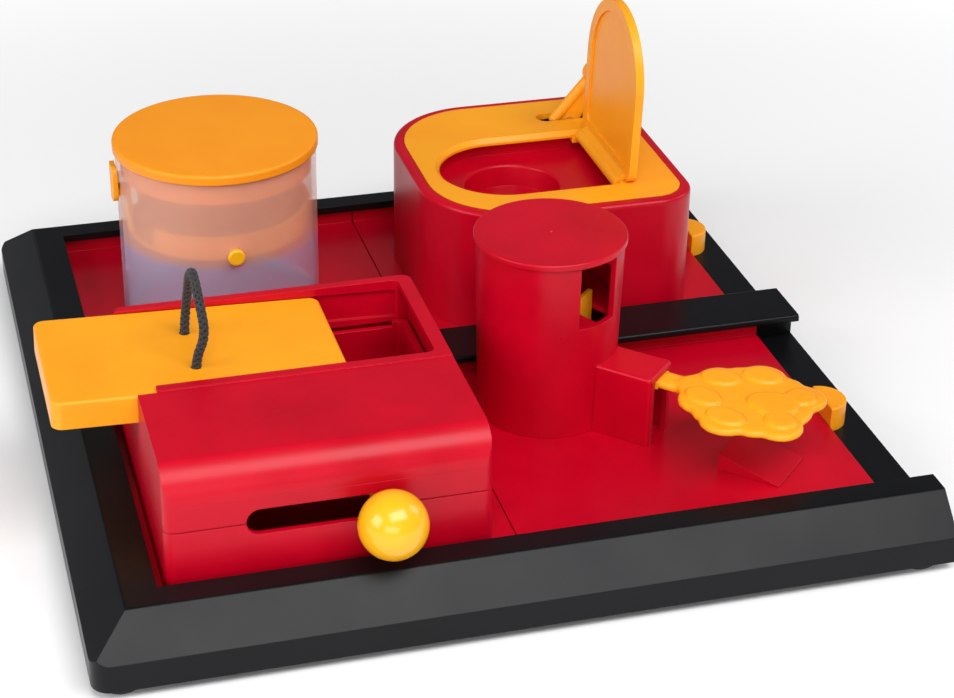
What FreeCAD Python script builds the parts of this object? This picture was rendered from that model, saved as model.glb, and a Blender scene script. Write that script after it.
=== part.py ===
import FreeCAD, Part
import math
import os

from FreeCAD import Vector

# Dog puzzle feeder: a black board with four red game modules, in millimetres.
# Origin at the bottom centre, x to the right along the front, y to the back, z up.

# Board
FOOT_H = 3.5
FOOT_R = 8.0
FOOT_INSET = 10.5
FOOT_CHAMFER = 0.8
BOARD_W = 310.0
BOARD_D = 320.0
WALL_H = 10.5
RIM_H = 22.9
BEVEL_RUN = 14.0
RIM_FRONT = 23.9
RIM_LEFT = 26.0
LIP_T = 3.3
LIP_REACH = 4.7
FLOOR_TOP = 11.1
FLOOR_T = 2.5
BOARD_CORNER_R = 7.0
BOARD_END_R = 2.0
BOARD_WALL = 3.0
BOARD_RIB_T = 2.0
FOOT_PAD = 22.0
STRIP_W = 16.3

# Centre rail
RAIL_Y = 2.4
RAIL_FLANGE_W = 25.7
RAIL_WEB_W = 11.5
RAIL_EDGE_R = 1.2
RAIL_SCREWS = 3
RAIL_SCREW_END = 35.0

# Fasteners
SCREW_R = 1.4
SCREW_HEAD_R = 2.8
SCREW_HEAD_H = 1.6
SCREW_BITE = 7.0
SCREW_SLOT_W = 0.7
SCREW_SLOT_DEPTH = 0.6
BOSS_R = 3.6

# Module plates
PLATE_T = 2.4
PLATE_GAP = 0.3
SEAM_GAP = 0.4
SEAM_X = 0.5
GUIDE_RIB_T = 2.0
GUIDE_RIB_GAP = 0.4

# Lock posts
LOCK_R = 9.4
LOCK_H = 10.0
LOCK_PEG_R = 3.2
LOCK_PEG_L = 6.0
LOCK_PEG_GAP = 0.06
LOCK_FRONT_Y = -72.0
LOCK_BACK_Y = 82.0
LOCK_EDGE_R = 0.8
LOCK_FLAT_GAP = 0.3

# Slide box
BOX_X = -67.8
BOX_Y = -71.7
BOX_W = 115.6
BOX_D = 121.0
BOX_TOP = 67.0
BOX_PART_Z = 43.7
BOX_DRAFT = 0.9
BOX_WALL = 2.4
BOX_CORNER_R = 4.0
BOX_FRONT_R = 14.0
BOX_FLOOR_T = 2.0
BOX_RIM_STEP = 0.5
BOX_GROOVE_H = 0.5
BOX_GROOVE_D = 0.7
LIP_NOTCH = 7.0
BOX_SCREW_INSET = 5.4
BOX_SCREW_ROW = 41.8

# Slide lid
LID_L = 107.0
LID_D = 62.4
LID_T = 10.7
LID_SKIN = 2.4
LID_TILT = 1.87
LID_LEFT = -154.6
LID_FRONT = -76.8
LID_TOP_LEFT = 66.9
LID_CORNER_R = 4.0
LID_EDGE_R = 1.1
LID_GAP = 0.3
LID_STROKE_IN = 30.0
FRONT_LIP = 3.9
BACK_LIP = 0.9
LEDGE_W = 2.3
RAIL_BLOCK_T = 2.6
RAIL_BLOCK_H = 5.4

# Pull cord
CORD_D = 3.3
CORD_HOLE_GAP = 0.25
CORD_X = -101.4
CORD_BACK_Y = -34.0
CORD_FRONT_Y = -60.0
KNOT_R = 3.3
KNOT_H = 5.4

# Treat drawer, its stem and its knob
DRAWER_L = 62.0
DRAWER_END_GAP = 0.9
DRAWER_SIDE_GAP = 0.5
DRAWER_WALL = 2.2
DRAWER_END_WALL = 3.0
DRAWER_TOP = 51.0
DRAWER_BACK_DROP = 2.2
DRAWER_STROKE = 43.5
STEM_BACK_OFF = 36.4
SLOT_H = 9.9
SLOT_Z = 43.7
STEM_R = 3.6
STEM_SOCKET = 5.0
SOCKET_WALL = 1.4
KNOB_R = 12.2
KNOB_FACE_GAP = 0.6
KNOB_FLAT = 1.2
SLOT_END_GAP = 0.5
RUNNER_GAP = 0.3

# Frosted drum
DRUM_X = -69.4
DRUM_Y = 78.6
DRUM_R = 40.8
DRUM_WALL = 2.0
DRUM_TOP = 89.2
DRUM_FOOT_T = 2.0
DRUM_FOOT_W = 5.0
DRUM_LID_T = 3.9
DRUM_LID_OVER = 0.9
DRUM_SKIRT_L = 10.0
DRUM_SKIRT_T = 2.0
DRUM_SKIRT_GAP = 0.12
DRUM_LID_EDGE_R = 1.2
DRUM_EXIT_W = 46.0
DRUM_EXIT_H = 24.0
DRUM_EXIT_ANGLE = 40.0
DRUM_SLOT_W = 13.0
DRUM_SLOT_TOP = 78.0
DRUM_SLOT_BOTTOM = 39.0

# Tipping tray in the drum
TRAY_R = 37.5
TRAY_WALL = 1.8
TRAY_BOTTOM = 53.1
TRAY_H = 11.1
TRAY_PIN_Z = 57.3
TRAY_PIN_R = 2.6
TRAY_PIN_GAP = 0.05
TRAY_PIN_HEAD_R = 3.5
TRAY_PIN_HEAD_T = 1.6
TRAY_LEVER_W = 11.0
TRAY_LEVER_T = 2.0
TRAY_LEVER_TOP = 84.5
TRAY_LEVER_BOTTOM = 69.0
TRAY_LEVER_GAP = 0.5
TRAY_SPOUT_W = 44.0
TRAY_SPOUT_H = 3.0

# Flap housing
FLAP_X0 = 10.4
FLAP_X1 = 121.0
FLAP_Y0 = 19.6
FLAP_Y1 = 134.0
FLAP_TOP = 70.5
FLAP_ROUND_R = 39.0
FLAP_CORNER_R = 17.0
FLAP_WALL = 2.4
FLAP_RIM_W = 4.4
FLAP_RIM_R = 1.8
FRAME_T = 3.0
FRAME_RISE = 0.3
FRAME_GAP = 0.15
FRAME_LEDGE_W = 2.2
FRAME_LEDGE_T = 3.0
OPEN_X0 = 23.0
OPEN_X1 = 90.5
OPEN_Y = 67.5
OPEN_W = 54.0
OPEN_BEVEL = 1.8
WELL_FLOOR_Z = 61.5
WELL_FLOOR_T = 2.0
WELL_R = 20.0
WELL_X = 54.0
WELL_Y = 67.5
WELL_DEPTH = 9.0
FLOOR_MARGIN = 6.0
FLOOR_HINGE_MARGIN = 9.4
WELL_EDGE_R = 1.4

# Flap lid, shaft and lever
HINGE_X = 92.6
HINGE_Z = 69.2
FLAP_L = 69.6
FLAP_W = 62.0
FLAP_T = 2.6
FLAP_BORDER_W = 5.0
FLAP_BORDER_T = 0.9
FLAP_FOOT_R = 3.0
FLAP_LEAN = 2.0
FLAP_LIFT = 1.9
FLAP_BASE = 2.3
FLAP_SHAFT_R = 1.25
FLAP_SHAFT_GAP = 0.05
BARREL_R = 2.7
BARREL_L = 52.0
BARREL_GAP = 0.35
LUG_T = 3.6
LUG_DROP = 2.4
LUG_GAP = 0.3
LEVER_Y = 112.0
LEVER_T = 3.2
LEVER_ROD_R = 2.4
LEVER_LEN = 23.5
LEVER_ANGLE = 28.0
LEVER_BALL_R = 5.0
LEVER_SLOT_W = 9.0
LEVER_SLOT_X0 = 78.0
LEVER_SLOT_X1 = 104.0

# Tower
TOWER_X = 37.4
TOWER_Y = -37.6
TOWER_R_TOP = 28.2
TOWER_R_BOTTOM = 26.6
TOWER_WALL = 2.2
TOWER_TOP = 89.6
CAP_T = 2.4
CAP_OVER = 0.9
CAP_PLUG_H = 5.0
CAP_PLUG_T = 1.8
CAP_PLUG_GAP = 0.1
CAP_PIP_R = 1.3
CAP_PIP_H = 0.6
WINDOW_FROM = -83.0
WINDOW_TO = -46.0
WINDOW_SILL = 63.5
SHELF_Z = 62.0
SHELF_T = 2.0
SHELF_SLOPE = 12.0
SHELF_EDGE = 13.0
SHELF_CHEEK_T = 6.0
SHELF_NOTCH_GAP = 0.5
SHELF_LEG_T = 2.2
SHELF_GAP = 0.3
CHUTE_BACK = -5.0
CHUTE_START_Z = 34.0
CHUTE_END = 46.0
CHUTE_END_Z = 18.2
CHUTE_T = 1.8
CHUTE_GAP = 0.3
CHUTE_ANGLE = -45.0

# Chute block
BLOCK_END = 48.8
BLOCK_W = 18.6
BLOCK_TOP = 46.1
BLOCK_WALL = 2.2
BLOCK_EDGE_R = 1.4
MOUTH_W = 11.4
MOUTH_TOP = 43.6

# Paw lever
PAW_TOP = 46.0
PAW_NECK_DROP = 1.3
PAW_T = 3.0
PAW_PAD_T = 1.2
PAW_PIVOT = 30.0
PAW_PIVOT_Z = 39.6
PAW_AXLE_R = 2.0
PAW_AXLE_GAP = 0.05
PAW_AXLE_COVER = 1.1
PAW_NECK_W = 10.0
PAW_HUB_R = 3.9
PAW_TOE_IN_T = 20.7
PAW_TOE_IN_S = 8.0
PAW_TOE_OUT_T = 33.6
PAW_TOE_OUT_S = 17.2
PAW_TOE_R = 7.6
PAW_TOE_OUT_R = 9.2
PAW_PAD_CENTRE = 46.0
PAW_HEEL_R = 8.6
PAW_HEEL_S = 11.4
PAW_HEEL_T = 52.4
GATE_T = 2.0
GATE_TOP = 69.5
GATE_W = 9.4

# Stop ramp
RAMP_NEAR = 29.4
RAMP_LEN = 24.6
RAMP_W = 24.0
RAMP_H = 6.8
RAMP_SIDE = 1.8
RAMP_TOE_H = 0.6

# Levels and places worked out from the sizes above
BOARD_Z = FOOT_H
FLOOR_Z = BOARD_Z + FLOOR_TOP
PLATE_Z = FLOOR_Z + PLATE_T
RIM_Z = BOARD_Z + RIM_H
LIP_Z = RIM_Z - LIP_T
LEFT = -BOARD_W / 2
RIGHT = BOARD_W / 2
FRONT = -BOARD_D / 2
BACK = BOARD_D / 2
IN_LEFT = LEFT + RIM_LEFT
IN_FRONT = FRONT + RIM_FRONT
IN_BACK = BACK - RIM_FRONT
PLATE_RIGHT = RIGHT - STRIP_W
WEB_FRONT = RAIL_Y - RAIL_WEB_W / 2
WEB_BACK = RAIL_Y + RAIL_WEB_W / 2

BOX_X0 = BOX_X - BOX_W / 2
BOX_X1 = BOX_X + BOX_W / 2
BOX_Y0 = BOX_Y - BOX_D / 2
BOX_Y1 = BOX_Y + BOX_D / 2
LID_BACK = LID_FRONT + LID_D
CAVITY_FRONT = LID_FRONT + LEDGE_W
CAVITY_BACK = LID_BACK - LEDGE_W
STEM_X = BOX_X1 - BOX_WALL - DRAWER_END_GAP - STEM_BACK_OFF
HUB_DIR = Vector(math.cos(math.radians(CHUTE_ANGLE)), math.sin(math.radians(CHUTE_ANGLE)), 0)
SIDE_DIR = Vector(-HUB_DIR.y, HUB_DIR.x, 0)
TILT = math.radians(LID_TILT)

EPS = 0.01
CUT = 5.0

NODES = {}


def keep(name, shape):
    """Store the node's shape, one compound of its separate solids."""
    solids = shape.Solids
    if not solids or not all(s.isValid() for s in solids):
        print("check", name, len(solids), [s.isValid() for s in solids])
    NODES[name] = solids[0] if len(solids) == 1 else Part.makeCompound(solids)


def box(x0, x1, y0, y1, z0, z1):
    return Part.makeBox(x1 - x0, y1 - y0, z1 - z0, Vector(x0, y0, z0))


def cyl(x, y, z0, z1, r):
    return Part.makeCylinder(r, z1 - z0, Vector(x, y, z0))


def cyl_y(x, z, y0, y1, r):
    return Part.makeCylinder(r, y1 - y0, Vector(x, y0, z), Vector(0, 1, 0))


def union(shapes):
    out = shapes[0]
    for s in shapes[1:]:
        out = out.fuse(s)
    return out.removeSplitter()


def edges_where(shape, test):
    return [e for e in shape.Edges if test(e)]


def is_upright(edge):
    a, b = edge.Vertexes[0].Point, edge.Vertexes[-1].Point
    return abs(a.x - b.x) < EPS and abs(a.y - b.y) < EPS and abs(a.z - b.z) > EPS


def upright_fillet(shape, r):
    return shape.makeFillet(r, edges_where(shape, is_upright))


def rounded_box(x0, x1, y0, y1, z0, z1, r):
    return upright_fillet(box(x0, x1, y0, y1, z0, z1), r)


def at_level(z):
    return lambda e: all(abs(v.Point.z - z) < EPS for v in e.Vertexes)


def prism(points, direction):
    wire = Part.makePolygon(points + [points[0]])
    return Part.Face(wire).extrude(direction)


def outline_face(wire):
    return Part.Face(wire)


def along(t, s, z):
    """A point t out from the tower axis along the chute, s to its left, at height z."""
    p = HUB_DIR * t + SIDE_DIR * s
    return Vector(TOWER_X + p.x, TOWER_Y + p.y, z)


def chute_box(t0, t1, s0, s1, z0, z1):
    base = [along(t0, s0, z0), along(t1, s0, z0), along(t1, s1, z0), along(t0, s1, z0)]
    return prism(base, Vector(0, 0, z1 - z0))


def screw(x, y, z_head, bite, up=1):
    """A self-tapping screw whose head starts at z_head, with its shank towards up."""
    axis = Vector(0, 0, up)
    head = Part.makeCylinder(SCREW_HEAD_R, SCREW_HEAD_H, Vector(x, y, z_head), axis)
    shank = Part.makeCylinder(SCREW_R, bite, Vector(x, y, z_head + up * SCREW_HEAD_H), axis)
    slot_z = z_head if up > 0 else z_head - SCREW_SLOT_DEPTH
    slot = box(x - SCREW_HEAD_R, x + SCREW_HEAD_R, y - SCREW_SLOT_W / 2, y + SCREW_SLOT_W / 2,
               slot_z, slot_z + SCREW_SLOT_DEPTH)
    return head.fuse(shank).cut(slot).removeSplitter()


def screw_room(x, y, z_head, bite):
    """The counterbored hole that a screw driven from below sits in."""
    head = cyl(x, y, z_head - CUT, z_head + SCREW_HEAD_H, SCREW_HEAD_R + PLATE_GAP)
    return head.fuse(cyl(x, y, z_head, z_head + SCREW_HEAD_H + bite + PLATE_GAP, SCREW_R))


# Board, rail, feet

def rail_screw_places():
    first = IN_LEFT + RAIL_SCREW_END
    step = (RIGHT - RAIL_SCREW_END - first) / (RAIL_SCREWS - 1)
    return [(first + i * step, RAIL_Y) for i in range(RAIL_SCREWS)]


def lock_places():
    return {"lock_post_front": LOCK_FRONT_Y, "lock_post_back": LOCK_BACK_Y}


def board_blank():
    blank = box(LEFT, RIGHT, FRONT, BACK, BOARD_Z, RIM_Z)
    left_edges = edges_where(blank, lambda e: is_upright(e) and e.Vertexes[0].Point.x < 0)
    blank = blank.makeFillet(BOARD_CORNER_R, left_edges)
    z0 = BOARD_Z + WALL_H
    span = Vector(BOARD_W + 2 * CUT, 0, 0)
    for side in (-1, 1):
        edge = side * BOARD_D / 2
        wedge = [Vector(LEFT - CUT, edge, z0), Vector(LEFT - CUT, edge - side * BEVEL_RUN, RIM_Z),
                 Vector(LEFT - CUT, edge, RIM_Z)]
        blank = blank.cut(prism(wedge, span))
    wedge = [Vector(LEFT, FRONT - CUT, z0), Vector(LEFT + BEVEL_RUN, FRONT - CUT, RIM_Z),
             Vector(LEFT, FRONT - CUT, RIM_Z)]
    return blank.cut(prism(wedge, Vector(0, BOARD_D + 2 * CUT, 0)))


def make_board():
    board = board_blank()
    board = board.cut(box(IN_LEFT, RIGHT + CUT, IN_FRONT, IN_BACK, FLOOR_Z, RIM_Z + CUT))
    channel = box(IN_LEFT - LIP_REACH, RIGHT + CUT, IN_FRONT - LIP_REACH, IN_BACK + LIP_REACH,
                  FLOOR_Z, LIP_Z)
    board = board.cut(channel)
    under = box(LEFT + BOARD_WALL, RIGHT - BOARD_WALL, FRONT + BOARD_WALL, BACK - BOARD_WALL,
                BOARD_Z - CUT, FLOOR_Z - FLOOR_T)
    for x in (LEFT, RIGHT - FOOT_PAD):
        for y in (FRONT, BACK - FOOT_PAD):
            under = under.cut(box(x, x + FOOT_PAD, y, y + FOOT_PAD, BOARD_Z - CUT, FLOOR_Z))
    for x in (LEFT + BOARD_W / 3, RIGHT - BOARD_W / 3):
        under = under.cut(box(x, x + BOARD_RIB_T, FRONT, BACK, BOARD_Z, FLOOR_Z))
    for y in (FRONT + BOARD_D / 3, BACK - BOARD_D / 3):
        under = under.cut(box(LEFT, RIGHT, y, y + BOARD_RIB_T, BOARD_Z, FLOOR_Z))
    board = board.cut(under)
    for x, y in rail_screw_places():
        board = board.fuse(cyl(x, y, BOARD_Z + SCREW_HEAD_H, FLOOR_Z, BOSS_R + 1))
        board = board.cut(screw_room(x, y, FLOOR_Z - FLOOR_T - SCREW_HEAD_H, SCREW_BITE))
    for y in lock_places().values():
        x = PLATE_RIGHT + LOCK_FLAT_GAP + LOCK_R / 2
        board = board.fuse(cyl(x, y, BOARD_Z + 1, FLOOR_Z, LOCK_PEG_R + 2))
        board = board.cut(cyl(x, y, BOARD_Z, FLOOR_Z + CUT, LOCK_PEG_R + LOCK_PEG_GAP))
    board = board.removeSplitter()
    ridge = edges_where(board, lambda e: at_level(RIM_Z)(e)
                        and e.BoundBox.XMin < IN_LEFT and e.BoundBox.XMax <= RIGHT + EPS
                        and (abs(e.BoundBox.YMin - FRONT - BEVEL_RUN) < EPS
                             or abs(e.BoundBox.YMax - BACK + BEVEL_RUN) < EPS
                             or abs(e.BoundBox.XMax - LEFT - BEVEL_RUN) < EPS))
    board = board.makeFillet(BOARD_END_R, ridge)
    keep("base_board", board)


def make_rail():
    web = box(IN_LEFT, RIGHT, WEB_FRONT, WEB_BACK, FLOOR_Z, RIM_Z)
    half = RAIL_FLANGE_W / 2
    flange = box(IN_LEFT, RIGHT, RAIL_Y - half, RAIL_Y + half, LIP_Z, RIM_Z)
    long_edges = edges_where(flange, lambda e: e.Length > BOARD_W / 2)
    flange = flange.makeFillet(RAIL_EDGE_R, long_edges)
    rail = web.fuse(flange).removeSplitter()
    screws = []
    for x, y in rail_screw_places():
        z_head = FLOOR_Z - FLOOR_T - SCREW_HEAD_H
        rail = rail.cut(screw_room(x, y, z_head, SCREW_BITE))
        screws.append(screw(x, y, z_head, SCREW_BITE))
    keep("centre_rail", rail)
    keep("rail_screws", Part.makeCompound(screws))


def make_feet():
    feet = []
    for sx in (-1, 1):
        for sy in (-1, 1):
            x = sx * (BOARD_W / 2 - FOOT_INSET)
            y = sy * (BOARD_D / 2 - FOOT_INSET)
            foot = cyl(x, y, 0, FOOT_H, FOOT_R)
            feet.append(foot.makeChamfer(FOOT_CHAMFER, edges_where(foot, at_level(0))))
    keep("rubber_feet", Part.makeCompound(feet))


def plate(x0, x1, y0, y1):
    """A module plate, with a guide rib under each lip that holds it down."""
    body = box(x0, x1, y0, y1, FLOOR_Z, PLATE_Z)
    rib_top = LIP_Z - GUIDE_RIB_GAP
    body = body.fuse(box(x0, x1, y0, y0 + GUIDE_RIB_T, PLATE_Z, rib_top))
    body = body.fuse(box(x0, x1, y1 - GUIDE_RIB_T, y1, PLATE_Z, rib_top))
    return body.removeSplitter()


def plate_spans():
    left = (IN_LEFT - LIP_REACH + PLATE_GAP, SEAM_X - SEAM_GAP / 2)
    right = (SEAM_X + SEAM_GAP / 2, PLATE_RIGHT)
    front = (IN_FRONT - LIP_REACH + PLATE_GAP, WEB_FRONT - PLATE_GAP)
    back = (WEB_BACK + PLATE_GAP, IN_BACK + LIP_REACH - PLATE_GAP)
    return left, right, front, back


def make_locks():
    for name, y in lock_places().items():
        x = PLATE_RIGHT + LOCK_FLAT_GAP
        top = FLOOR_Z + LOCK_H
        post = cyl(x, y, FLOOR_Z, top, LOCK_R).common(box(x, x + LOCK_R, y - LOCK_R, y + LOCK_R,
                                                         FLOOR_Z, top))
        post = post.makeFillet(LOCK_EDGE_R, edges_where(post, at_level(top)))
        peg = cyl(x + LOCK_R / 2, y, FLOOR_Z - LOCK_PEG_L, FLOOR_Z, LOCK_PEG_R)
        keep(name, post.fuse(peg).removeSplitter())


# Slide box

def drafted(x0, x1, y0, y1, z0, z1, inset, r):
    """A box whose sides lean in by inset from z0 to z1, with round upright edges."""
    low = rounded_wire(x0, x1, y0, y1, z0, r)
    high = rounded_wire(x0 + inset, x1 - inset, y0 + inset / 2, y1 - inset / 2, z1, r)
    return Part.makeLoft([low, high], True, True)


def rounded_wire(x0, x1, y0, y1, z, r):
    k = r * (1 - math.sqrt(0.5))
    p = Vector
    arcs = [
        (p(x1 - r, y0, z), p(x1 - k, y0 + k, z), p(x1, y0 + r, z)),
        (p(x1, y1 - r, z), p(x1 - k, y1 - k, z), p(x1 - r, y1, z)),
        (p(x0 + r, y1, z), p(x0 + k, y1 - k, z), p(x0, y1 - r, z)),
        (p(x0, y0 + r, z), p(x0 + k, y0 + k, z), p(x0 + r, y0, z)),
    ]
    edges = []
    for i, (a, m, b) in enumerate(arcs):
        edges.append(Part.Arc(a, m, b).toShape())
        edges.append(Part.LineSegment(b, arcs[(i + 1) % 4][0]).toShape())
    return Part.Wire(edges)


def box_screw_places():
    xs = (BOX_X0 + BOX_SCREW_INSET, BOX_X1 - BOX_SCREW_INSET)
    ys = (BOX_Y0 + BOX_SCREW_INSET, BOX_Y0 + BOX_SCREW_INSET + BOX_SCREW_ROW)
    return [(x, y) for x in xs for y in ys]


def box_outer():
    return drafted(BOX_X0, BOX_X1, BOX_Y0, BOX_Y1, PLATE_Z, BOX_TOP, BOX_DRAFT, BOX_CORNER_R)


def front_round():
    """What the large round along the box's top front edge takes away."""
    face = BOX_Y0 + BOX_DRAFT / 2
    block = box(BOX_X0 - CUT, BOX_X1 + CUT, face - CUT, face + BOX_FRONT_R,
                BOX_TOP - BOX_FRONT_R, BOX_TOP + CUT)
    rod = Part.makeCylinder(BOX_FRONT_R, BOX_W + 4 * CUT,
                            Vector(BOX_X0 - 2 * CUT, face + BOX_FRONT_R, BOX_TOP - BOX_FRONT_R),
                            Vector(1, 0, 0))
    return block.cut(rod)


def box_slot():
    """The obround slot in the front wall that the knob's stem slides in."""
    x1 = STEM_X + STEM_R + SLOT_END_GAP
    x0 = STEM_X - DRAWER_STROKE - STEM_R - SLOT_END_GAP
    r = SLOT_H / 2
    y0 = BOX_Y0 - CUT
    y1 = BOX_Y0 + BOX_WALL + CUT
    middle = box(x0 + r, x1 - r, y0, y1, SLOT_Z - r, SLOT_Z + r)
    ends = [cyl_y(x, SLOT_Z, y0, y1, r) for x in (x0 + r, x1 - r)]
    return union([middle] + ends)


def lid_space(x0, x1, gap):
    """The sloping channel that the slide lid runs in, before it is tilted into place."""
    top = LID_TOP_LEFT + gap
    return box(x0, x1, LID_FRONT - gap, LID_BACK + gap, top - LID_T - 2 * gap, top)


def tilt(shape):
    shape = shape.copy()
    shape.rotate(Vector(LID_LEFT, 0, LID_TOP_LEFT), Vector(0, 1, 0), LID_TILT)
    return shape


def lid_top_at(x):
    return LID_TOP_LEFT - (x - LID_LEFT) * math.tan(TILT)


def make_slide_box():
    outer = box_outer().cut(front_round())
    far = BOX_W + BOX_D
    lower = outer.common(box(-far, far, -far, far, PLATE_Z, BOX_PART_Z))
    upper = outer.common(box(-far, far, -far, far, BOX_PART_Z, BOX_TOP + CUT))
    inner = rounded_box(BOX_X0 + BOX_WALL, BOX_X1 - BOX_WALL, BOX_Y0 + BOX_WALL,
                        BOX_Y1 - BOX_WALL, PLATE_Z + BOX_FLOOR_T, BOX_TOP - BOX_WALL,
                        BOX_CORNER_R - 1)
    inner_round = rounded_inner_front()
    cavity = inner.common(inner_round)
    slot = box_slot()
    lower = lower.cut(cavity).cut(slot).cut(parting_groove())
    upper = upper.cut(cavity).cut(slot)
    screws = []
    for x, y in box_screw_places():
        lower = lower.fuse(cyl(x, y, PLATE_Z + BOX_FLOOR_T, BOX_PART_Z, BOSS_R))
        upper = upper.fuse(cyl(x, y, BOX_PART_Z, BOX_PART_Z + BOSS_R * 2, BOSS_R))
    lower = lower.fuse(runners())
    upper = upper.fuse(lid_rails())
    z_head = FLOOR_Z
    bite = BOX_PART_Z + BOSS_R - z_head - SCREW_HEAD_H
    for x, y in box_screw_places():
        room = screw_room(x, y, z_head, bite)
        lower = lower.cut(room)
        upper = upper.cut(room)
        screws.append(screw(x, y, z_head, bite))
    # The opening over the lid, the notch at its left end, and the channel itself
    x_in = BOX_X1 - BOX_DRAFT - BOX_WALL - 3
    y_lip = LID_FRONT + FRONT_LIP
    y_back = LID_BACK - BACK_LIP
    window = rounded_box(BOX_X0 + BOX_WALL + CUT, x_in, y_lip, y_back,
                         BOX_PART_Z + RAIL_BLOCK_H, BOX_TOP + CUT, BOX_CORNER_R - 1)
    mid_lid = LID_TOP_LEFT - LID_T / 2
    window = window.fuse(box(BOX_X0 - CUT, BOX_X0 + 4 * CUT, y_lip, y_back, mid_lid,
                             BOX_TOP + CUT))
    notch = box(BOX_X0 - CUT, BOX_X0 + BOX_DRAFT + LIP_NOTCH, LID_FRONT - LID_GAP, y_back,
                mid_lid, BOX_TOP + CUT)
    channel = tilt(lid_space(BOX_X0 - CUT - 30, LID_LEFT + LID_L + LID_STROKE_IN + LID_GAP, LID_GAP))
    step = box(BOX_X0 - CUT, BOX_X1 + CUT, BOX_Y0 - CUT, LID_FRONT + EPS,
               BOX_TOP - BOX_RIM_STEP, BOX_TOP + CUT)
    upper = upper.cut(window).cut(notch).cut(channel).cut(step)
    keep("slide_box_base", lower.removeSplitter())
    keep("slide_box_top", upper.removeSplitter())
    return screws


def rounded_inner_front():
    """Keeps the inside of the box parallel to its round top front edge."""
    r = BOX_FRONT_R - BOX_WALL
    face = BOX_Y0 + BOX_WALL
    top = BOX_TOP - BOX_WALL
    whole = box(BOX_X0, BOX_X1, face, BOX_Y1, PLATE_Z, top)
    corner = box(BOX_X0 - CUT, BOX_X1 + CUT, face - CUT, face + r, top - r, top + CUT)
    rod = Part.makeCylinder(r, BOX_W + 4 * CUT, Vector(BOX_X0 - 2 * CUT, face + r, top - r),
                            Vector(1, 0, 0))
    return whole.cut(corner.cut(rod))


def parting_groove():
    """The fine groove round the box where its two shells meet."""
    z0 = BOX_PART_Z - BOX_GROOVE_H
    d = BOX_GROOVE_D
    ring = box(BOX_X0 - CUT, BOX_X1 + CUT, BOX_Y0 - CUT, BOX_Y1 + CUT, z0, BOX_PART_Z)
    core = rounded_box(BOX_X0 + d, BOX_X1 - d, BOX_Y0 + d, BOX_Y1 - d, z0, BOX_PART_Z,
                       BOX_CORNER_R - d)
    return ring.cut(core)


def lid_rails():
    """The two long rails under the lid's edges, hung from the box's top."""
    x0 = BOX_X0 + BOX_WALL - 1
    x1 = BOX_X1 - BOX_WALL + 1
    z0 = BOX_PART_Z + RAIL_BLOCK_H
    front = box(x0, x1, LID_FRONT - RAIL_BLOCK_T, CAVITY_FRONT, z0, BOX_TOP - 1)
    back = box(x0, x1, CAVITY_BACK, BOX_Y1 - BOX_WALL + 1, z0, BOX_TOP - 1)
    return front.fuse(back)


def runners():
    """Two low rails on the box floor that the drawer slides on."""
    z0 = PLATE_Z + BOX_FLOOR_T - EPS
    z1 = z0 + 1.5 + EPS
    x0 = BOX_X0 + BOX_WALL
    x1 = BOX_X1 - BOX_WALL
    rails = []
    for y in (CAVITY_FRONT + 8, CAVITY_BACK - 11):
        rails.append(box(x0, x1, y, y + 3, z0, z1))
    return Part.makeCompound(rails)


def make_slide_lid():
    top = LID_TOP_LEFT
    x1 = LID_LEFT + LID_L
    slab = rounded_box(LID_LEFT, x1, LID_FRONT, LID_BACK, top - LID_T, top, LID_CORNER_R)
    slab = slab.makeFillet(LID_EDGE_R, edges_where(slab, at_level(top)))
    hollow = rounded_box(LID_LEFT + LID_SKIN, x1 - LID_SKIN, LID_FRONT + LID_SKIN,
                         LID_BACK - LID_SKIN, top - LID_T - CUT, top - LID_SKIN,
                         LID_CORNER_R - 1)
    slab = tilt(slab.cut(hollow))
    r = CORD_D / 2 + CORD_HOLE_GAP
    for y in (CORD_BACK_Y, CORD_FRONT_Y):
        slab = slab.cut(cyl(CORD_X, y, top - LID_T - CUT, top + CUT, r))
    keep("slide_lid", slab)


def cord_points():
    """The loop's route, from the knot under the back hole to the one under the front hole."""
    z_skin = lid_top_at(CORD_X)
    z_end = z_skin - LID_SKIN - 0.6
    x = CORD_X
    yb = CORD_BACK_Y
    yf = CORD_FRONT_Y
    return [
        Vector(x, yb, z_end),
        Vector(x, yb, z_skin + 3.0),
        Vector(x + 1.6, yb + 0.6, z_skin + 13.0),
        Vector(x + 2.2, yb - 3.4, z_skin + 25.5),
        Vector(x + 2.4, yb - 13.5, z_skin + 32.0),
        Vector(x + 2.6, yf + 2.4, z_skin + 25.0),
        Vector(x + 3.8, yf - 2.0, z_skin + 13.5),
        Vector(x, yf, z_skin + 3.0),
        Vector(x, yf, z_end),
    ]


def cord_path(points):
    """Straight runs joined by tangent arcs, each as large as its two runs allow."""
    runs = [(points[i + 1] - points[i]).Length for i in range(len(points) - 1)]
    edges = []
    start = points[0]
    length = 0
    for i in range(1, len(points) - 1):
        a = points[i] - points[i - 1]
        b = points[i + 1] - points[i]
        a.normalize()
        b.normalize()
        turn = a.getAngle(b)
        back_off = 0.45 * min(runs[i - 1], runs[i])
        radius = back_off / math.tan(turn / 2)
        p0 = points[i] - a * back_off
        p1 = points[i] + b * back_off
        bisector = (b - a)
        bisector.normalize()
        centre = points[i] + bisector * (radius / math.cos(turn / 2))
        mid = centre - bisector * radius
        edges.append(Part.LineSegment(start, p0).toShape())
        edges.append(Part.Arc(p0, mid, p1).toShape())
        length += (p0 - start).Length + radius * turn
        print("cord arc", i, "radius %.1f" % radius, "turn %.0f" % math.degrees(turn))
        start = p1
    edges.append(Part.LineSegment(start, points[-1]).toShape())
    length += (points[-1] - start).Length
    return Part.Wire(edges), length


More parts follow.
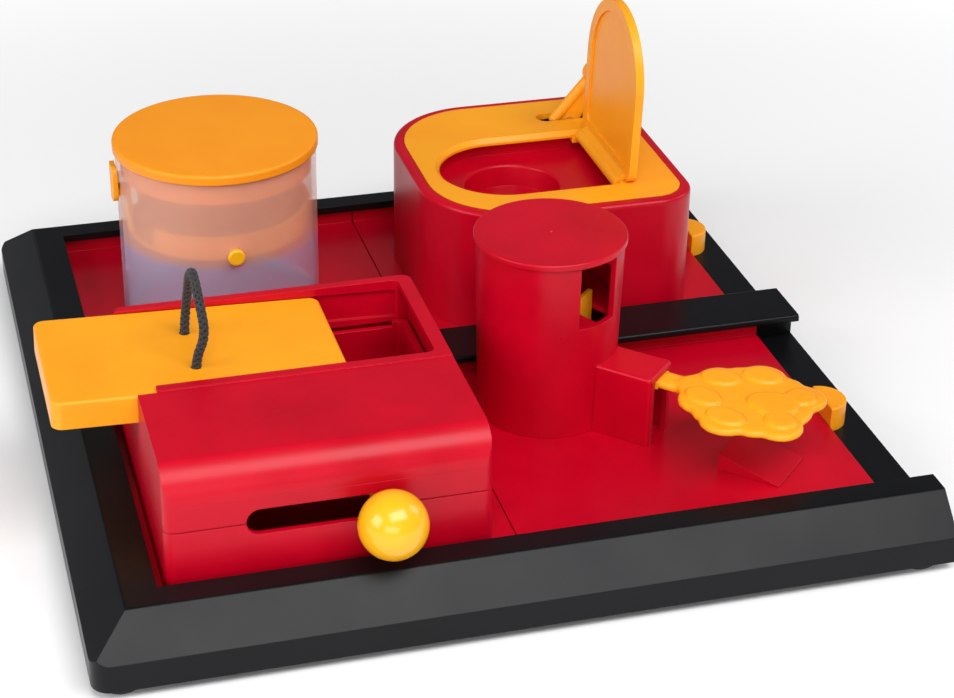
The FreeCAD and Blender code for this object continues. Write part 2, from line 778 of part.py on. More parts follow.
def make_cord():
    points = cord_points()
    wire, length = cord_path(points)
    section = Part.Wire([Part.Circle(points[0], Vector(0, 0, 1), CORD_D / 2).toShape()])
    tube = wire.makePipeShell([section], True, False)
    area = math.pi * CORD_D ** 2 / 4
    print("cord length %.1f volume %.1f expected %.1f" % (length, tube.Volume, area * length))
    keep("pull_cord", tube)
    knots = []
    for p in (points[0], points[-1]):
        core = cyl(p.x, p.y, p.z - KNOT_H, p.z, KNOT_R)
        rims = edges_where(core, lambda e: len(e.Vertexes) == 1)
        knots.append(core.makeFillet(1.4, rims))
    keep("cord_knots", Part.makeCompound(knots))


def make_drawer():
    x1 = BOX_X1 - BOX_WALL - DRAWER_END_GAP
    x0 = x1 - DRAWER_L
    y0 = CAVITY_FRONT + DRAWER_SIDE_GAP
    y1 = CAVITY_BACK - DRAWER_SIDE_GAP
    z0 = PLATE_Z + BOX_FLOOR_T + 1.5 + RUNNER_GAP
    tray = rounded_box(x0, x1, y0, y1, z0, DRAWER_TOP, 3.0)
    tray = tray.cut(rounded_box(x0 + DRAWER_WALL, x1 - DRAWER_END_WALL, y0 + DRAWER_WALL,
                                y1 - DRAWER_WALL, z0 + DRAWER_WALL, DRAWER_TOP + CUT, 2.0))
    drop = box(x0 + DRAWER_END_WALL + 2, x1 - DRAWER_END_WALL - 3, y1 - DRAWER_WALL - EPS,
               y1 + CUT, DRAWER_TOP - DRAWER_BACK_DROP, DRAWER_TOP + CUT)
    tray = tray.cut(drop)
    socket = cyl_y(STEM_X, SLOT_Z, y0 - STEM_SOCKET + 1, y0 + 1, STEM_R + SOCKET_WALL)
    socket = socket.cut(cyl_y(STEM_X, SLOT_Z, y0 - STEM_SOCKET - 1, y0, STEM_R))
    keep("treat_drawer", tray.fuse(socket).removeSplitter())
    knob_y = BOX_Y0 - KNOB_FACE_GAP - KNOB_R
    ball = Part.makeSphere(KNOB_R, Vector(STEM_X, knob_y, SLOT_Z))
    back = box(STEM_X - KNOB_R, STEM_X + KNOB_R, knob_y + KNOB_R - KNOB_FLAT, knob_y + 2 * KNOB_R,
               SLOT_Z - KNOB_R, SLOT_Z + KNOB_R)
    ball = ball.cut(back)
    stem = cyl_y(STEM_X, SLOT_Z, knob_y, y0, STEM_R)
    keep("drawer_knob", ball.cut(stem))
    keep("drawer_stem", stem)


# Frosted drum

def turned(points, x, y):
    """A ring or disc turned round the upright axis at x, y from its half section."""
    pts = [Vector(x + p[0], y, p[1]) for p in points]
    face = Part.Face(Part.makePolygon(pts + [pts[0]]))
    return face.revolve(Vector(x, y, 0), Vector(0, 0, 1), 360)


def make_drum():
    r = DRUM_R
    ri = r - DRUM_WALL
    wall = turned([(ri, PLATE_Z), (r, PLATE_Z), (r, DRUM_TOP), (ri, DRUM_TOP)], DRUM_X, DRUM_Y)
    foot = turned([(ri - DRUM_FOOT_W, PLATE_Z), (ri + EPS, PLATE_Z),
                   (ri + EPS, PLATE_Z + DRUM_FOOT_T), (ri - DRUM_FOOT_W, PLATE_Z + DRUM_FOOT_T)],
                  DRUM_X, DRUM_Y)
    wall = wall.fuse(foot)
    half = DRUM_EXIT_W / 2
    arch = box(0, r + CUT, -half, half, PLATE_Z + DRUM_FOOT_T, PLATE_Z + DRUM_EXIT_H)
    arch = arch.makeFillet(8, edges_where(arch, lambda e: abs(e.Length - r - CUT) < EPS
                                          and e.BoundBox.ZMin > PLATE_Z + DRUM_EXIT_H - EPS))
    arch.rotate(Vector(0, 0, 0), Vector(0, 0, 1), DRUM_EXIT_ANGLE)
    arch.translate(Vector(DRUM_X, DRUM_Y, 0))
    wall = wall.cut(arch)
    slot = box(DRUM_X - r - CUT, DRUM_X - r / 2, DRUM_Y - DRUM_SLOT_W / 2,
               DRUM_Y + DRUM_SLOT_W / 2, DRUM_SLOT_BOTTOM, DRUM_SLOT_TOP)
    wall = wall.cut(slot)
    wall = wall.cut(cyl_y(DRUM_X, TRAY_PIN_Z, DRUM_Y - r - CUT, DRUM_Y + r + CUT,
                          TRAY_PIN_R + TRAY_PIN_GAP))
    keep("frosted_drum", wall.removeSplitter())


def make_drum_lid():
    r = DRUM_R + DRUM_LID_OVER
    top = DRUM_TOP + DRUM_LID_T
    disc = cyl(DRUM_X, DRUM_Y, DRUM_TOP, top, r)
    disc = disc.makeFillet(DRUM_LID_EDGE_R, edges_where(disc, at_level(top)))
    ro = DRUM_R - DRUM_WALL - DRUM_SKIRT_GAP
    skirt = turned([(ro - DRUM_SKIRT_T, DRUM_TOP - DRUM_SKIRT_L), (ro, DRUM_TOP - DRUM_SKIRT_L),
                    (ro, DRUM_TOP + EPS), (ro - DRUM_SKIRT_T, DRUM_TOP + EPS)], DRUM_X, DRUM_Y)
    keep("drum_lid", disc.fuse(skirt).removeSplitter())


def make_tray():
    top = TRAY_BOTTOM + TRAY_H
    dish = cyl(DRUM_X, DRUM_Y, TRAY_BOTTOM, top, TRAY_R)
    dish = dish.makeFillet(2.0, edges_where(dish, at_level(TRAY_BOTTOM)))
    inside = cyl(DRUM_X, DRUM_Y, TRAY_BOTTOM + TRAY_WALL, top + CUT, TRAY_R - TRAY_WALL)
    dish = dish.cut(inside)
    bosses = []
    for side in (-1, 1):
        a = DRUM_Y + side * (TRAY_R - TRAY_WALL - 3)
        b = DRUM_Y + side * (TRAY_R - TRAY_WALL / 2)
        bosses.append(cyl_y(DRUM_X, TRAY_PIN_Z, min(a, b), max(a, b), TRAY_PIN_R + 1.6))
    room = cyl(DRUM_X, DRUM_Y, TRAY_BOTTOM + TRAY_WALL / 2, top, TRAY_R - TRAY_WALL / 2)
    dish = union([dish] + [boss.common(room) for boss in bosses])
    spout = box(DRUM_X - TRAY_R - CUT, DRUM_X - TRAY_R / 2, DRUM_Y - TRAY_SPOUT_W / 2,
                DRUM_Y + TRAY_SPOUT_W / 2, TRAY_BOTTOM + TRAY_SPOUT_H, top + CUT)
    dish = dish.cut(spout)
    pins = []
    for side in (-1, 1):
        inner = DRUM_Y + side * (TRAY_R - TRAY_WALL - 3)
        outer = DRUM_Y + side * (DRUM_R + TRAY_LEVER_GAP)
        shaft = cyl_y(DRUM_X, TRAY_PIN_Z, min(inner, outer), max(inner, outer), TRAY_PIN_R)
        dish = dish.cut(shaft)
        tip = outer + side * TRAY_PIN_HEAD_T
        head = cyl_y(DRUM_X, TRAY_PIN_Z, min(outer, tip), max(outer, tip), TRAY_PIN_HEAD_R)
        face_edges = edges_where(head, lambda e: abs(e.BoundBox.YMin - tip) < EPS
                                 and abs(e.BoundBox.YMax - tip) < EPS)
        head = head.makeFillet(0.9, face_edges)
        pins.append(shaft.fuse(head).removeSplitter())
    keep("tray_pins", Part.makeCompound(pins))
    lever = tray_lever()
    keep("tray_lever", lever.cut(dish))
    keep("tipping_tray", dish)


def tray_lever():
    """The curved tab outside the drum, on an arm through the drum's slot."""
    ri = DRUM_R + TRAY_LEVER_GAP
    ro = ri + TRAY_LEVER_T
    tab = turned([(ri, TRAY_LEVER_BOTTOM), (ro, TRAY_LEVER_BOTTOM), (ro, TRAY_LEVER_TOP),
                  (ri, TRAY_LEVER_TOP)], DRUM_X, DRUM_Y)
    half = TRAY_LEVER_W / 2
    tab = tab.common(box(DRUM_X - ro - CUT, DRUM_X, DRUM_Y - half, DRUM_Y + half, 0, DRUM_TOP))
    long_edges = edges_where(tab, lambda e: abs(e.BoundBox.ZMin - e.BoundBox.ZMax) < EPS
                             and e.Length < TRAY_LEVER_T + 1)
    tab = tab.makeFillet(3.5, long_edges)
    arm_z = TRAY_LEVER_BOTTOM + 2.5
    arm = box(DRUM_X - ri - 1, DRUM_X - TRAY_R + TRAY_WALL, DRUM_Y - half + 2, DRUM_Y + half - 2,
              arm_z, arm_z + TRAY_WALL + 1)
    post = box(DRUM_X - TRAY_R, DRUM_X - TRAY_R + TRAY_WALL, DRUM_Y - half + 2,
               DRUM_Y + half - 2, TRAY_BOTTOM + TRAY_SPOUT_H - 1, arm_z + TRAY_WALL)
    return union([tab, arm, post])


# Flap module

def flap_outline(inset, z):
    """The housing's outline: large rounds at the left, small ones at the right."""
    x0 = FLAP_X0 + inset
    x1 = FLAP_X1 - inset
    y0 = FLAP_Y0 + inset
    y1 = FLAP_Y1 - inset
    big = FLAP_ROUND_R - inset
    small = FLAP_CORNER_R - inset
    kb = big * (1 - math.sqrt(0.5))
    ks = small * (1 - math.sqrt(0.5))
    p = Vector
    arcs = [
        (p(x1 - small, y0, z), p(x1 - ks, y0 + ks, z), p(x1, y0 + small, z)),
        (p(x1, y1 - small, z), p(x1 - ks, y1 - ks, z), p(x1 - small, y1, z)),
        (p(x0 + big, y1, z), p(x0 + kb, y1 - kb, z), p(x0, y1 - big, z)),
        (p(x0, y0 + big, z), p(x0 + kb, y0 + kb, z), p(x0 + big, y0, z)),
    ]
    edges = []
    for i, (a, m, b) in enumerate(arcs):
        edges.append(Part.Arc(a, m, b).toShape())
        edges.append(Part.LineSegment(b, arcs[(i + 1) % 4][0]).toShape())
    return Part.Wire(edges)


def flap_block(inset, z0, z1):
    return Part.Face(flap_outline(inset, z0)).extrude(Vector(0, 0, z1 - z0))


def d_block(x_flat, x_tip, y, width, z0, z1):
    """A D in plan: a half round of the width at x_tip, straight across at x_flat."""
    r = width / 2
    x_mid = x_tip + r
    edges = [
        Part.LineSegment(Vector(x_mid, y + r, z0), Vector(x_flat, y + r, z0)).toShape(),
        Part.LineSegment(Vector(x_flat, y + r, z0), Vector(x_flat, y - r, z0)).toShape(),
        Part.LineSegment(Vector(x_flat, y - r, z0), Vector(x_mid, y - r, z0)).toShape(),
        Part.Arc(Vector(x_mid, y - r, z0), Vector(x_tip, y, z0), Vector(x_mid, y + r, z0)).toShape(),
    ]
    return Part.Face(Part.Wire(edges)).extrude(Vector(0, 0, z1 - z0))


def flap_screw_places():
    inset = FLAP_CORNER_R * 0.45 + BOSS_R
    big = FLAP_ROUND_R * 0.35 + BOSS_R
    return [(FLAP_X1 - inset, FLAP_Y0 + inset), (FLAP_X1 - inset, FLAP_Y1 - inset),
            (FLAP_X0 + big, FLAP_Y0 + big), (FLAP_X0 + big, FLAP_Y1 - big)]


def make_flap_housing():
    shell = flap_block(0, PLATE_Z, FLAP_TOP)
    shell = shell.makeFillet(FLAP_RIM_R, edges_where(shell, at_level(FLAP_TOP)))
    shell = shell.cut(flap_block(FLAP_WALL, PLATE_Z - CUT, FLAP_TOP + FRAME_RISE - FRAME_T
                                 - FRAME_LEDGE_T))
    shell = shell.cut(flap_block(FLAP_RIM_W, PLATE_Z, FLAP_TOP + CUT))
    ledge_z = FLAP_TOP + FRAME_RISE - FRAME_T
    ledge = flap_block(FLAP_WALL, ledge_z - FRAME_LEDGE_T, ledge_z)
    ledge = ledge.cut(flap_block(FLAP_RIM_W + FRAME_LEDGE_W, ledge_z - CUT, ledge_z + CUT))
    shell = shell.fuse(ledge)
    bite = SCREW_BITE
    for x, y in flap_screw_places():
        shell = shell.fuse(cyl(x, y, PLATE_Z, PLATE_Z + bite + 3, BOSS_R))
    shell = boss_webs(shell)
    screws = []
    for x, y in flap_screw_places():
        shell = shell.cut(screw_room(x, y, FLOOR_Z, bite))
        screws.append(screw(x, y, FLOOR_Z, bite))
    keep("flap_housing", shell.removeSplitter())
    return screws


def boss_webs(shell):
    """Webs that tie each screw boss to the nearest corner of the housing wall."""
    cx = (FLAP_X0 + FLAP_X1) / 2
    cy = (FLAP_Y0 + FLAP_Y1) / 2
    for x, y in flap_screw_places():
        out = Vector(math.copysign(1, x - cx), math.copysign(1, y - cy), 0)
        reach = 16 if out.x < 0 else 9
        side = Vector(-out.y, out.x, 0) * 0.8
        a = Vector(x, y, PLATE_Z)
        tip = a + out * reach
        web = prism([a - side, tip - side, tip + side, a + side], Vector(0, 0, SCREW_BITE + 3))
        shell = shell.fuse(web.common(flap_block(FLAP_WALL / 2, PLATE_Z, FLAP_TOP)))
    return shell


def make_flap_frame():
    z1 = FLAP_TOP + FRAME_RISE
    z0 = z1 - FRAME_T
    frame = flap_block(FLAP_RIM_W + FRAME_GAP, z0, z1)
    frame = frame.cut(d_block(OPEN_X1, OPEN_X0, OPEN_Y, OPEN_W, z0 - CUT, z1 + CUT))
    rim = edges_where(frame, lambda e: at_level(z1)(e) and e.BoundBox.XMin > OPEN_X0 - 1
                      and e.BoundBox.XMax < OPEN_X1 + 1
                      and abs(e.CenterOfMass.y - OPEN_Y) < OPEN_W / 2 + 1)
    frame = frame.makeChamfer(OPEN_BEVEL, rim)
    slot_r = LEVER_SLOT_W / 2
    slot = union([box(LEVER_SLOT_X0 + slot_r, LEVER_SLOT_X1 - slot_r, LEVER_Y - slot_r,
                      LEVER_Y + slot_r, z0 - CUT, z1 + CUT),
                  cyl(LEVER_SLOT_X0 + slot_r, LEVER_Y, z0 - CUT, z1 + CUT, slot_r),
                  cyl(LEVER_SLOT_X1 - slot_r, LEVER_Y, z0 - CUT, z1 + CUT, slot_r)])
    frame = frame.cut(slot).cut(barrel_room())
    frame = frame.fuse(hinge_lugs(z0))
    frame = frame.cut(cyl_y(HINGE_X, HINGE_Z, FLAP_Y0, FLAP_Y1, FLAP_SHAFT_R + FLAP_SHAFT_GAP))
    keep("flap_frame", frame.removeSplitter())


def barrel_span():
    """Where the lid's hinge barrel lies along y."""
    return OPEN_Y - BARREL_L / 2, OPEN_Y + BARREL_L / 2


def barrel_room():
    """The trough at the opening's straight edge that the barrel turns in."""
    y0, y1 = barrel_span()
    return cyl_y(HINGE_X, HINGE_Z, y0 - LUG_GAP, y1 + LUG_GAP, BARREL_R + BARREL_GAP)


def lug_spans():
    """Where the lugs under the frame hold the shaft: at each barrel end and by the lever."""
    front = barrel_span()[0] - LUG_GAP
    back = barrel_span()[1] + LUG_GAP
    far = LEVER_Y - LEVER_ROD_R - LUG_GAP
    return [(front - LUG_T, front), (back, back + LUG_T), (far - LUG_T, far)]


def hinge_lugs(z0):
    """The lugs that hang from the frame's underside at z0."""
    low = HINGE_Z - FLAP_SHAFT_R - LUG_DROP
    half = FLAP_SHAFT_R + LUG_DROP
    return union([box(HINGE_X - half, HINGE_X + half, y0, y1, low, z0 + EPS)
                  for y0, y1 in lug_spans()])


def make_flap_floor():
    """The red floor inside the opening, with its round well and its skirt up to the frame."""
    z_frame = FLAP_TOP + FRAME_RISE - FRAME_T
    m = FLOOR_MARGIN
    x_far = OPEN_X1 + FLOOR_HINGE_MARGIN
    outer = d_block(x_far, OPEN_X0 - m, OPEN_Y, OPEN_W + 2 * m, WELL_FLOOR_Z - WELL_FLOOR_T,
                    z_frame)
    wall = WELL_FLOOR_T
    inner = d_block(x_far - wall, OPEN_X0 - m + wall, OPEN_Y, OPEN_W + 2 * m - 2 * wall,
                    WELL_FLOOR_Z, z_frame + CUT)
    floor = outer.cut(inner)
    z_well = WELL_FLOOR_Z - WELL_DEPTH
    cup = cyl(WELL_X, WELL_Y, z_well - WELL_FLOOR_T, WELL_FLOOR_Z, WELL_R + WELL_FLOOR_T)
    bowl = Part.makeCone(WELL_R - 2, WELL_R, WELL_DEPTH, Vector(WELL_X, WELL_Y, z_well))
    floor = floor.fuse(cup).cut(bowl).removeSplitter()
    rim = edges_where(floor, lambda e: at_level(WELL_FLOOR_Z)(e) and len(e.Vertexes) == 1)
    floor = floor.makeFillet(WELL_EDGE_R, rim)
    y_far = LEVER_Y
    shaft_room = cyl_y(HINGE_X, HINGE_Z, OPEN_Y, y_far, FLAP_SHAFT_R + LUG_GAP)
    keep("flap_floor", floor.cut(shaft_room))


def swing(shape, angle):
    shape = shape.copy()
    shape.rotate(Vector(HINGE_X, 0, HINGE_Z), Vector(0, 1, 0), angle)
    return shape


def flap_face(width, length, z0, x0, thickness):
    """The lid's outline standing in the y-z plane: straight sides and a round top."""
    r = width / 2
    z_mid = HINGE_Z + length - r
    c = FLAP_FOOT_R
    k = c * (1 - math.sqrt(0.5))
    y = OPEN_Y
    p = Vector
    edges = [
        Part.LineSegment(p(x0, y - r + c, z0), p(x0, y + r - c, z0)).toShape(),
        Part.Arc(p(x0, y + r - c, z0), p(x0, y + r - k, z0 + k), p(x0, y + r, z0 + c)).toShape(),
        Part.LineSegment(p(x0, y + r, z0 + c), p(x0, y + r, z_mid)).toShape(),
        Part.Arc(p(x0, y + r, z_mid), p(x0, y, HINGE_Z + length), p(x0, y - r, z_mid)).toShape(),
        Part.LineSegment(p(x0, y - r, z_mid), p(x0, y - r, z0 + c)).toShape(),
        Part.Arc(p(x0, y - r, z0 + c), p(x0, y - r + k, z0 + k), p(x0, y - r + c, z0)).toShape(),
    ]
    return Part.Face(Part.Wire(edges)).extrude(Vector(thickness, 0, 0))


def make_flap_lid():
    x_border = HINGE_X + FLAP_LIFT
    x_in = x_border + FLAP_BORDER_T
    z0 = HINGE_Z + FLAP_BASE
    w = FLAP_BORDER_W
    panel = flap_face(FLAP_W, FLAP_L, z0, x_in, FLAP_T)
    ring = flap_face(FLAP_W, FLAP_L, z0, x_border, FLAP_BORDER_T + EPS)
    inner = flap_face(FLAP_W - 2 * w, FLAP_L - w, z0 + w, x_border - CUT, CUT + FLAP_BORDER_T)
    panel = panel.fuse(ring.cut(inner))
    y0, y1 = barrel_span()
    barrel = cyl_y(HINGE_X, HINGE_Z, y0, y1, BARREL_R)
    foot = prism([Vector(HINGE_X, y0, HINGE_Z + BARREL_R), Vector(HINGE_X, y0, HINGE_Z),
                  Vector(x_in, y0, z0), Vector(x_in + FLAP_T / 2, y0, z0),
                  Vector(x_in, y0, z0 + BARREL_R)], Vector(0, y1 - y0, 0))
    panel = panel.fuse(barrel).fuse(foot)
    panel = panel.cut(cyl_y(HINGE_X, HINGE_Z, FLAP_Y0, FLAP_Y1, FLAP_SHAFT_R))
    keep("flap_lid", swing(panel.removeSplitter(), FLAP_LEAN))
    shaft_end = LEVER_Y + LEVER_T / 2
    keep("flap_shaft", cyl_y(HINGE_X, HINGE_Z, lug_spans()[0][0], shaft_end, FLAP_SHAFT_R))
    keep("flap_lever", flap_lever())


def flap_lever():
    """The side lever on the end of the hinge shaft: a web, a thick rod and a ball."""
    y0 = LEVER_Y - LEVER_T / 2
    a = math.radians(LEVER_ANGLE)
    tip = Vector(HINGE_X + LEVER_LEN * math.sin(a), LEVER_Y, HINGE_Z + LEVER_LEN * math.cos(a))
    low = Vector(HINGE_X - 6.5, LEVER_Y, HINGE_Z + 0.5)
    direction = tip - low
    rod = Part.makeCylinder(LEVER_ROD_R, direction.Length, low, direction)
    ball = Part.makeSphere(LEVER_BALL_R, tip)
    web = prism([Vector(low.x, y0, low.z), Vector(HINGE_X + 3.4, y0, HINGE_Z - 2.0),
                 Vector(HINGE_X + 9.5, y0, HINGE_Z + 8), Vector(tip.x, y0, tip.z)],
                Vector(0, LEVER_T, 0))
    hub = cyl_y(HINGE_X, HINGE_Z, y0, y0 + LEVER_T, BARREL_R + 0.6)
    round_end = Part.makeSphere(LEVER_ROD_R, low)
    lever = union([rod, ball, web, hub, round_end])
    return lever.cut(cyl_y(HINGE_X, HINGE_Z, FLAP_Y0, FLAP_Y1, FLAP_SHAFT_R))


# Tower module

def tower_cone(r0, r1, z0, z1):
    return Part.makeCone(r0, r1, z1 - z0, Vector(TOWER_X, TOWER_Y, z0))


def tower_screw_places():
    r = TOWER_R_BOTTOM - TOWER_WALL - BOSS_R + 0.6
    out = []
    for angle in (CHUTE_ANGLE + 100, CHUTE_ANGLE + 260):
        a = math.radians(angle)
        out.append((TOWER_X + r * math.cos(a), TOWER_Y + r * math.sin(a)))
    return out


def make_tower():
    w = TOWER_WALL
    body = tower_cone(TOWER_R_BOTTOM, TOWER_R_TOP, PLATE_Z, TOWER_TOP)
    hollow = tower_cone(TOWER_R_BOTTOM - w, TOWER_R_TOP - w, PLATE_Z, TOWER_TOP)
    body = body.cut(hollow)
    far = 3 * TOWER_R_TOP
    a0 = math.radians(WINDOW_FROM)
    a1 = math.radians(WINDOW_TO)
    centre = Vector(TOWER_X, TOWER_Y, WINDOW_SILL)
    wedge = prism([centre, centre + Vector(far * math.cos(a0), far * math.sin(a0), 0),
                   centre + Vector(far * math.cos(a1), far * math.sin(a1), 0)],
                  Vector(0, 0, TOWER_TOP - WINDOW_SILL))
    body = body.cut(wedge)
    half = MOUTH_W / 2
    body = body.cut(chute_box(0, BLOCK_END, -half, half, PLATE_Z - EPS, MOUTH_TOP))
    body = body.cut(gate_space())
    bite = SCREW_BITE
    screws = []
    for x, y in tower_screw_places():
        body = body.fuse(cyl(x, y, PLATE_Z, PLATE_Z + bite + 3, BOSS_R))
    for x, y in tower_screw_places():
        body = body.cut(screw_room(x, y, FLOOR_Z, bite))
        screws.append(screw(x, y, FLOOR_Z, bite))
    keep("tower_body", body.removeSplitter())
    return screws


def gate_space():
    """Room in the tower wall above the mouth for the gate's neck when the paw is pressed."""
    half = MOUTH_W / 2
    return chute_box(TOWER_R_BOTTOM - 2 * TOWER_WALL, TOWER_R_TOP + CUT, -half, half,
                     PLATE_Z, MOUTH_TOP)


def make_cap():
    top = TOWER_TOP + CAP_T
    disc = cyl(TOWER_X, TOWER_Y, TOWER_TOP, top, TOWER_R_TOP + CAP_OVER)
    disc = disc.makeFillet(0.8, edges_where(disc, at_level(top)))
    pip = Part.makeSphere(CAP_PIP_R, Vector(TOWER_X, TOWER_Y, top - CAP_PIP_R + CAP_PIP_H))
    ro = TOWER_R_TOP - TOWER_WALL - CAP_PLUG_GAP - 0.12
    plug = turned([(ro - CAP_PLUG_T, TOWER_TOP - CAP_PLUG_H), (ro, TOWER_TOP - CAP_PLUG_H),
                   (ro, TOWER_TOP + EPS), (ro - CAP_PLUG_T, TOWER_TOP + EPS)], TOWER_X, TOWER_Y)
    far = 3 * TOWER_R_TOP
    a0 = math.radians(WINDOW_FROM)
    a1 = math.radians(WINDOW_TO)
    centre = Vector(TOWER_X, TOWER_Y, TOWER_TOP - 2 * CAP_PLUG_H)
    wedge = prism([centre, centre + Vector(far * math.cos(a0), far * math.sin(a0), 0),
                   centre + Vector(far * math.cos(a1), far * math.sin(a1), 0)],
                  Vector(0, 0, 2 * CAP_PLUG_H - EPS))
    plug = plug.cut(wedge)
    keep("tower_cap", disc.fuse(pip).fuse(plug).removeSplitter())


def make_shelf():
    """A shelf that slopes to the chute, on two side cheeks that stand on the plate."""
    r = TOWER_R_BOTTOM - TOWER_WALL - SHELF_GAP
    reach = 2 * r
    slab = chute_box(-reach, reach, -reach, reach, SHELF_Z, SHELF_Z + SHELF_T)
    pivot = along(SHELF_EDGE, 0, SHELF_Z)
    slab.rotate(pivot, SIDE_DIR, SHELF_SLOPE)
    round_in = cyl(TOWER_X, TOWER_Y, PLATE_Z, TOWER_TOP - CAP_PLUG_H - 1, r)
    notch = GATE_W / 2 + SHELF_NOTCH_GAP
    slab = slab.cut(chute_box(SHELF_EDGE, reach, -notch, notch, PLATE_Z, TOWER_TOP))
    parts = [slab.common(round_in)]
    for s in (-1, 1):
        inner = s * (MOUTH_W / 2 + 1.0)
        outer = s * (MOUTH_W / 2 + 1.0 + SHELF_LEG_T)
        cheek = chute_box(-SHELF_CHEEK_T, SHELF_CHEEK_T, min(inner, outer), max(inner, outer),
                          PLATE_Z, SHELF_Z + SHELF_T)
        parts.append(cheek)
    parts.append(chute_floor())
    keep("tower_shelf", union(parts))


def chute_floor():
    """The slope that leads from under the shelf's edge out through the chute block."""
    half = MOUTH_W / 2 - CHUTE_GAP
    s0 = -half
    profile = [along(CHUTE_BACK, s0, CHUTE_START_Z), along(CHUTE_END, s0, CHUTE_END_Z),
               along(CHUTE_END, s0, PLATE_Z), along(CHUTE_END - CHUTE_T, s0, PLATE_Z),
               along(CHUTE_BACK, s0, CHUTE_START_Z - CHUTE_T)]
    slope = prism(profile, SIDE_DIR * (2 * half))
    inner = MOUTH_W / 2 + 1.0
    tie = chute_box(CHUTE_BACK, 0, -inner - EPS, inner + EPS, CHUTE_START_Z - 3 * CHUTE_T,
                    CHUTE_START_Z - CHUTE_T)
    return slope.fuse(tie)


def make_block():
    half = BLOCK_W / 2
    start = TOWER_R_BOTTOM - TOWER_WALL / 2
    block = chute_box(0, BLOCK_END, -half, half, PLATE_Z, BLOCK_TOP)
    top_edges = edges_where(block, at_level(BLOCK_TOP))
    end_edges = edges_where(block, lambda e: is_upright(e)
                            and (e.Vertexes[0].Point - along(0, 0, 0)).dot(HUB_DIR) > BLOCK_END - 1)
    block = block.makeFillet(BLOCK_EDGE_R, top_edges + end_edges)
    tower = tower_cone(TOWER_R_BOTTOM, TOWER_R_TOP, PLATE_Z, TOWER_TOP)
    block = block.cut(tower)
    inner = half - BLOCK_WALL
    block = block.cut(chute_box(0, BLOCK_END - BLOCK_WALL, -inner, inner, PLATE_Z - EPS,
                                BLOCK_TOP - BLOCK_WALL))
    mouth = MOUTH_W / 2
    block = block.cut(chute_box(0, BLOCK_END + CUT, -mouth, mouth, PLATE_Z - EPS, MOUTH_TOP))
    axle = axle_rod(BLOCK_W - 2 * PAW_AXLE_COVER, PAW_AXLE_R)
    cheeks = []
    for s in (-1, 1):
        a = s * (PAW_NECK_W / 2 + 0.4)
        b = s * (inner + EPS)
        cheeks.append(chute_box(PAW_PIVOT - 4, PAW_PIVOT + 4, min(a, b), max(a, b),
                                PLATE_Z, BLOCK_TOP - BLOCK_WALL + EPS))
    block = block.fuse(Part.makeCompound(cheeks)).cut(axle).cut(tower)
    keep("chute_block", block.removeSplitter())


def axle_rod(length, r):
    a = along(PAW_PIVOT, -length / 2, PAW_PIVOT_Z)
    return Part.makeCylinder(r, length, a, SIDE_DIR)


def disc_at(t, s, r, z0, z1):
    p = along(t, s, z0)
    return Part.makeCylinder(r, z1 - z0, p)


def paw_outline(z0, z1):
    """The flat paw: a lobe under each toe, a body between them and a two-lobed heel."""
    t0 = BLOCK_END
    lobes = [disc_at(t0 + PAW_TOE_IN_T, s * PAW_TOE_IN_S, PAW_TOE_R + 1.6, z0, z1)
             for s in (-1, 1)]
    lobes += [disc_at(t0 + PAW_TOE_OUT_T, s * PAW_TOE_OUT_S, PAW_TOE_OUT_R, z0, z1)
              for s in (-1, 1)]
    lobes += [disc_at(t0 + PAW_HEEL_T, s * PAW_HEEL_S, PAW_HEEL_R, z0, z1) for s in (-1, 1)]
    lobes.append(disc_at(t0 + PAW_PAD_CENTRE - 4, 0, 15.0, z0, z1))
    lobes.append(disc_at(t0 + PAW_TOE_OUT_T - 4, 0, 13.0, z0, z1))
    lobes.append(chute_box(t0 + 34, t0 + 58, -15.5, 15.5, z0, z1))
    return union(lobes)


def toe_pad(t, s, angle, z0, z1):
    """An oval pad, long along the direction at angle from the chute."""
    pad = Part.makeCylinder(5.2, z1 - z0, Vector(0, 0, z0))
    stretch = FreeCAD.Matrix()
    stretch.scale(1.42, 1.0, 1.0)
    pad = pad.transformGeometry(stretch)
    pad.rotate(Vector(0, 0, 0), Vector(0, 0, 1), CHUTE_ANGLE + angle)
    p = along(BLOCK_END + t, s, 0)
    pad.translate(Vector(p.x, p.y, 0))
    return pad


def heel_pad(z0, z1):
    t0 = BLOCK_END
    lobes = [disc_at(t0 + PAW_HEEL_T - 0.5, s * (PAW_HEEL_S - 1.5), 5.6, z0, z1) for s in (-1, 1)]
    lobes.append(disc_at(t0 + PAW_PAD_CENTRE - 3.5, 0, 8.5, z0, z1))
    lobes.append(chute_box(t0 + PAW_PAD_CENTRE - 2, t0 + PAW_HEEL_T + 1.5, -9.5, 9.5, z0, z1))
    return union(lobes)


def make_paw():
    z1 = PAW_TOP - PAW_PAD_T
    z0 = z1 - PAW_T
    half = PAW_NECK_W / 2
    plate_shape = paw_outline(z0, z1)
    neck = chute_box(PAW_PIVOT, BLOCK_END + 14, -half, half, z0 - PAW_NECK_DROP,
                     z1 - PAW_NECK_DROP)
    hub = axle_rod(PAW_NECK_W, PAW_HUB_R)
    parts = [plate_shape, neck, hub]
    for s in (-1, 1):
        parts.append(toe_pad(PAW_TOE_IN_T, s * PAW_TOE_IN_S, s * 16, z1 - EPS, PAW_TOP))
        parts.append(toe_pad(PAW_TOE_OUT_T, s * PAW_TOE_OUT_S, s * 4, z1 - EPS, PAW_TOP))
    parts.append(heel_pad(z1 - EPS, PAW_TOP))
    parts.append(gate())
    lever = union(parts).cut(axle_rod(BLOCK_W, PAW_AXLE_R + PAW_AXLE_GAP))
    keep("paw_lever", lever)
    keep("paw_axle", axle_rod(BLOCK_W - 2 * PAW_AXLE_COVER - 2 * PAW_AXLE_GAP, PAW_AXLE_R))


